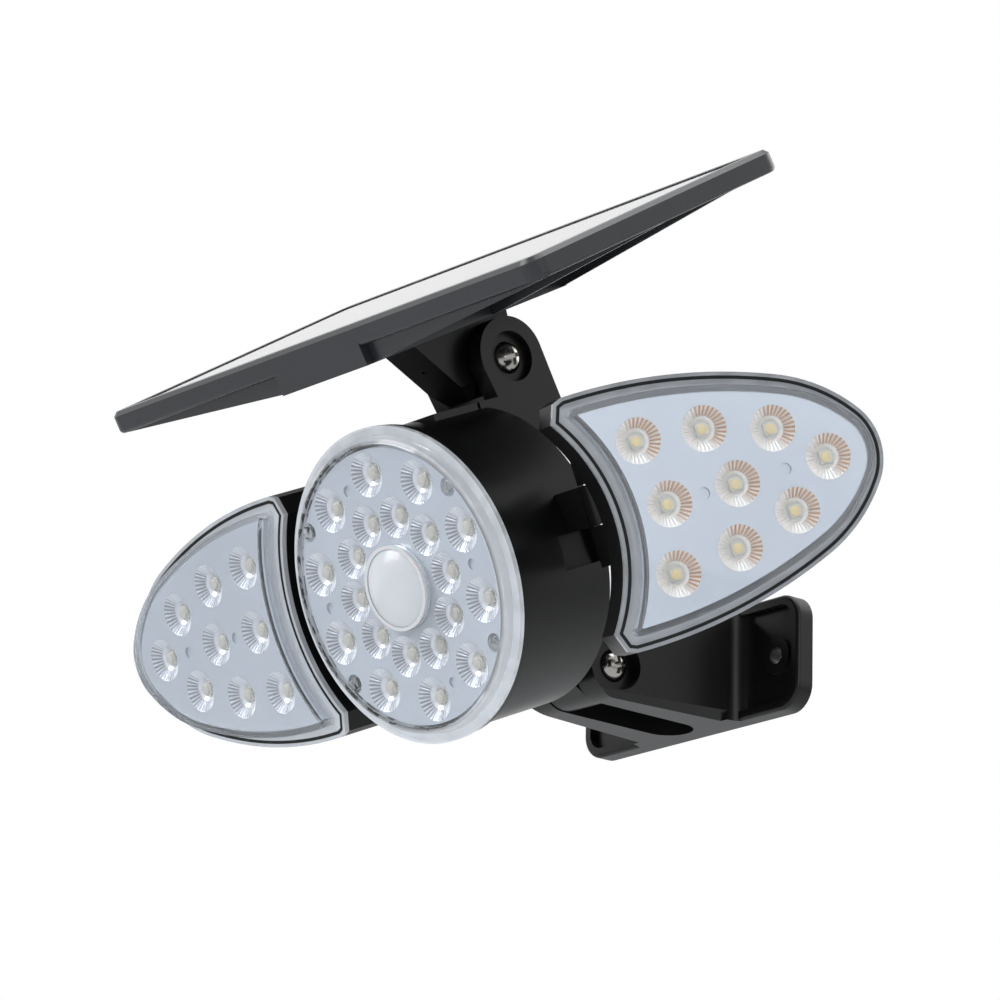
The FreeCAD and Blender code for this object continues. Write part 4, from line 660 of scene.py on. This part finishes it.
# The head's and the left wing's valleys get painted shade, the right wing's a painted warm
# reflection.
CUP_GROUPS = (
    (painted_shade_left, "head_outer_flutes", OUTER_CUPS, HEAD_PLATE_Y, HEAD, "head", flutes_with_painted_shade),
    (small_painted_shade_left, "head_inner_flutes", INNER_CUPS, HEAD_PLATE_Y, HEAD, "head", flutes_with_painted_shade),
    (painted_reflection_right, "right_wing_flutes", WING_CUPS, WING_PLATE_Y, RIGHT, "right_wing", flutes_with_painted_reflection),
    (painted_shade_left, "left_wing_flutes", LEFT_CUPS, WING_PLATE_Y, LEFT, "left_wing", flutes_with_painted_shade),
)
for model, name, cups, plate_y, matrix, body, finish in CUP_GROUPS:
    copies(model, name, [(x, plate_y, z) for x, z in cups], matrix, body, finish)
for model in (large_cup, small_cup, painted_shade_left, small_painted_shade_left, painted_reflection_right):
    bpy.data.objects.remove(model)

# %% [markdown]
# ## LED domes and phosphor
# Over each LED is a low dome of clear silicone that gathers its light. It is
# a UV sphere, cut in half with bisect and pressed flatter. Under it lies a
# round of yellow phosphor, a short cylinder whose upper rim is bevelled.

# %% Model one dome and one phosphor, and copy them
DOME_R, DOME_RISE, LED_HEIGHT = 2.6, 1.7, 0.8
DOME_LIFT = 0.02                # mm that a dome's foot stands off its board
PHOSPHOR_R, PHOSPHOR_RISE = 1.45, 0.18


def led_dome():
    """Half a flattened sphere that bulges towards -Y from y = 0, in mm."""
    bpy.ops.object.select_all(action="DESELECT")
    bpy.ops.mesh.primitive_uv_sphere_add(segments=32, ring_count=16, radius=DOME_R,
                                         rotation=(math.radians(90), 0, 0))
    dome = bpy.context.object
    dome.name = "dome_model"
    bpy.ops.object.transform_apply(location=False, rotation=True, scale=False)
    bpy.ops.object.mode_set(mode="EDIT")
    bpy.ops.mesh.select_all(action="SELECT")
    bpy.ops.mesh.bisect(plane_co=(0, 0, 0), plane_no=(0, 1, 0), use_fill=True,
                        clear_outer=True)
    bpy.ops.mesh.select_all(action="SELECT")
    bpy.ops.transform.resize(value=(1, DOME_RISE / DOME_R, 1), center_override=(0, 0, 0))
    bpy.ops.mesh.normals_make_consistent(inside=False)
    bpy.ops.object.mode_set(mode="OBJECT")
    return dome


def phosphor_round():
    """A low disc with a rounded front rim, its back at y = 0, in mm."""
    bpy.ops.object.select_all(action="DESELECT")
    bpy.ops.mesh.primitive_cylinder_add(vertices=28, radius=PHOSPHOR_R, depth=PHOSPHOR_RISE,
                                        location=(0, -PHOSPHOR_RISE / 2, 0),
                                        rotation=(math.radians(90), 0, 0))
    disc = bpy.context.object
    disc.name = "phosphor_model"
    bpy.ops.object.transform_apply(location=True, rotation=True, scale=False)
    for edge in disc.data.edges:
        edge.select = all(disc.data.vertices[v].co.y < -PHOSPHOR_RISE * 0.9
                          for v in edge.vertices)
    for face in disc.data.polygons:
        face.select = False
    bpy.ops.object.mode_set(mode="EDIT")
    bpy.ops.mesh.select_mode(type="EDGE")
    bpy.ops.mesh.bevel(offset=PHOSPHOR_RISE * 0.6, segments=2)
    bpy.ops.mesh.select_all(action="SELECT")
    bpy.ops.mesh.normals_make_consistent(inside=False)
    bpy.ops.object.mode_set(mode="OBJECT")
    return disc


one_dome, one_disc = led_dome(), phosphor_round()
# The head and the left wing take the paler copy of the phosphor, which is painted light.
LED_GROUPS = (
    ("head", OUTER_CUPS + INNER_CUPS, HEAD_PLATE_Y, HEAD, "head", phosphor_painted_paler),
    ("right_wing", WING_CUPS, WING_PLATE_Y, RIGHT, "right_wing", phosphor),
    ("left_wing", LEFT_CUPS, WING_PLATE_Y, LEFT, "left_wing", phosphor_painted_paler),
)
for name, cups, plate_y, matrix, body, finish in LED_GROUPS:
    board_y = plate_y + CUP_DEPTH
    copies(one_dome, name + "_led_domes", [(x, board_y - DOME_LIFT, z) for x, z in cups],
           matrix, body, dome_clear)
    copies(one_disc, name + "_phosphor", [(x, board_y - LED_HEIGHT, z) for x, z in cups],
           matrix, body, finish)
for model in (one_dome, one_disc):
    bpy.data.objects.remove(model)

# %% [markdown]
# ## Gasket lines
# A black silicone cord lies in a groove round each wing's cover, just inside
# the edge, and reads as a fine dark line. The CAD seal has that outline
# already, so a merged copy of it is brought forward to the groove's mouth.

# %% Copy each wing's seal to the front of its flange
GASKET_FORWARD = -1.64          # mm, from the shell's edge to the flange's front
for side, matrix, body in (("right", RIGHT, "right_wing"), ("left", LEFT, "left_wing")):
    seal = nodes[side + "_wing_seal"]
    line = bpy.data.objects.new(side + "_wing_gasket_line", seal.data.copy())
    bpy.context.scene.collection.objects.link(line)
    line.data.transform(matrix.inverted())
    bpy.ops.object.select_all(action="DESELECT")
    line.select_set(True)
    bpy.context.view_layer.objects.active = line
    bpy.ops.object.mode_set(mode="EDIT")
    bpy.ops.mesh.select_all(action="SELECT")
    bpy.ops.mesh.remove_doubles(threshold=0.001)
    bpy.ops.transform.translate(value=(0, GASKET_FORWARD, 0))
    bpy.ops.object.mode_set(mode="OBJECT")
    line.data.transform(matrix)
    settle(line, body, rubber_black)
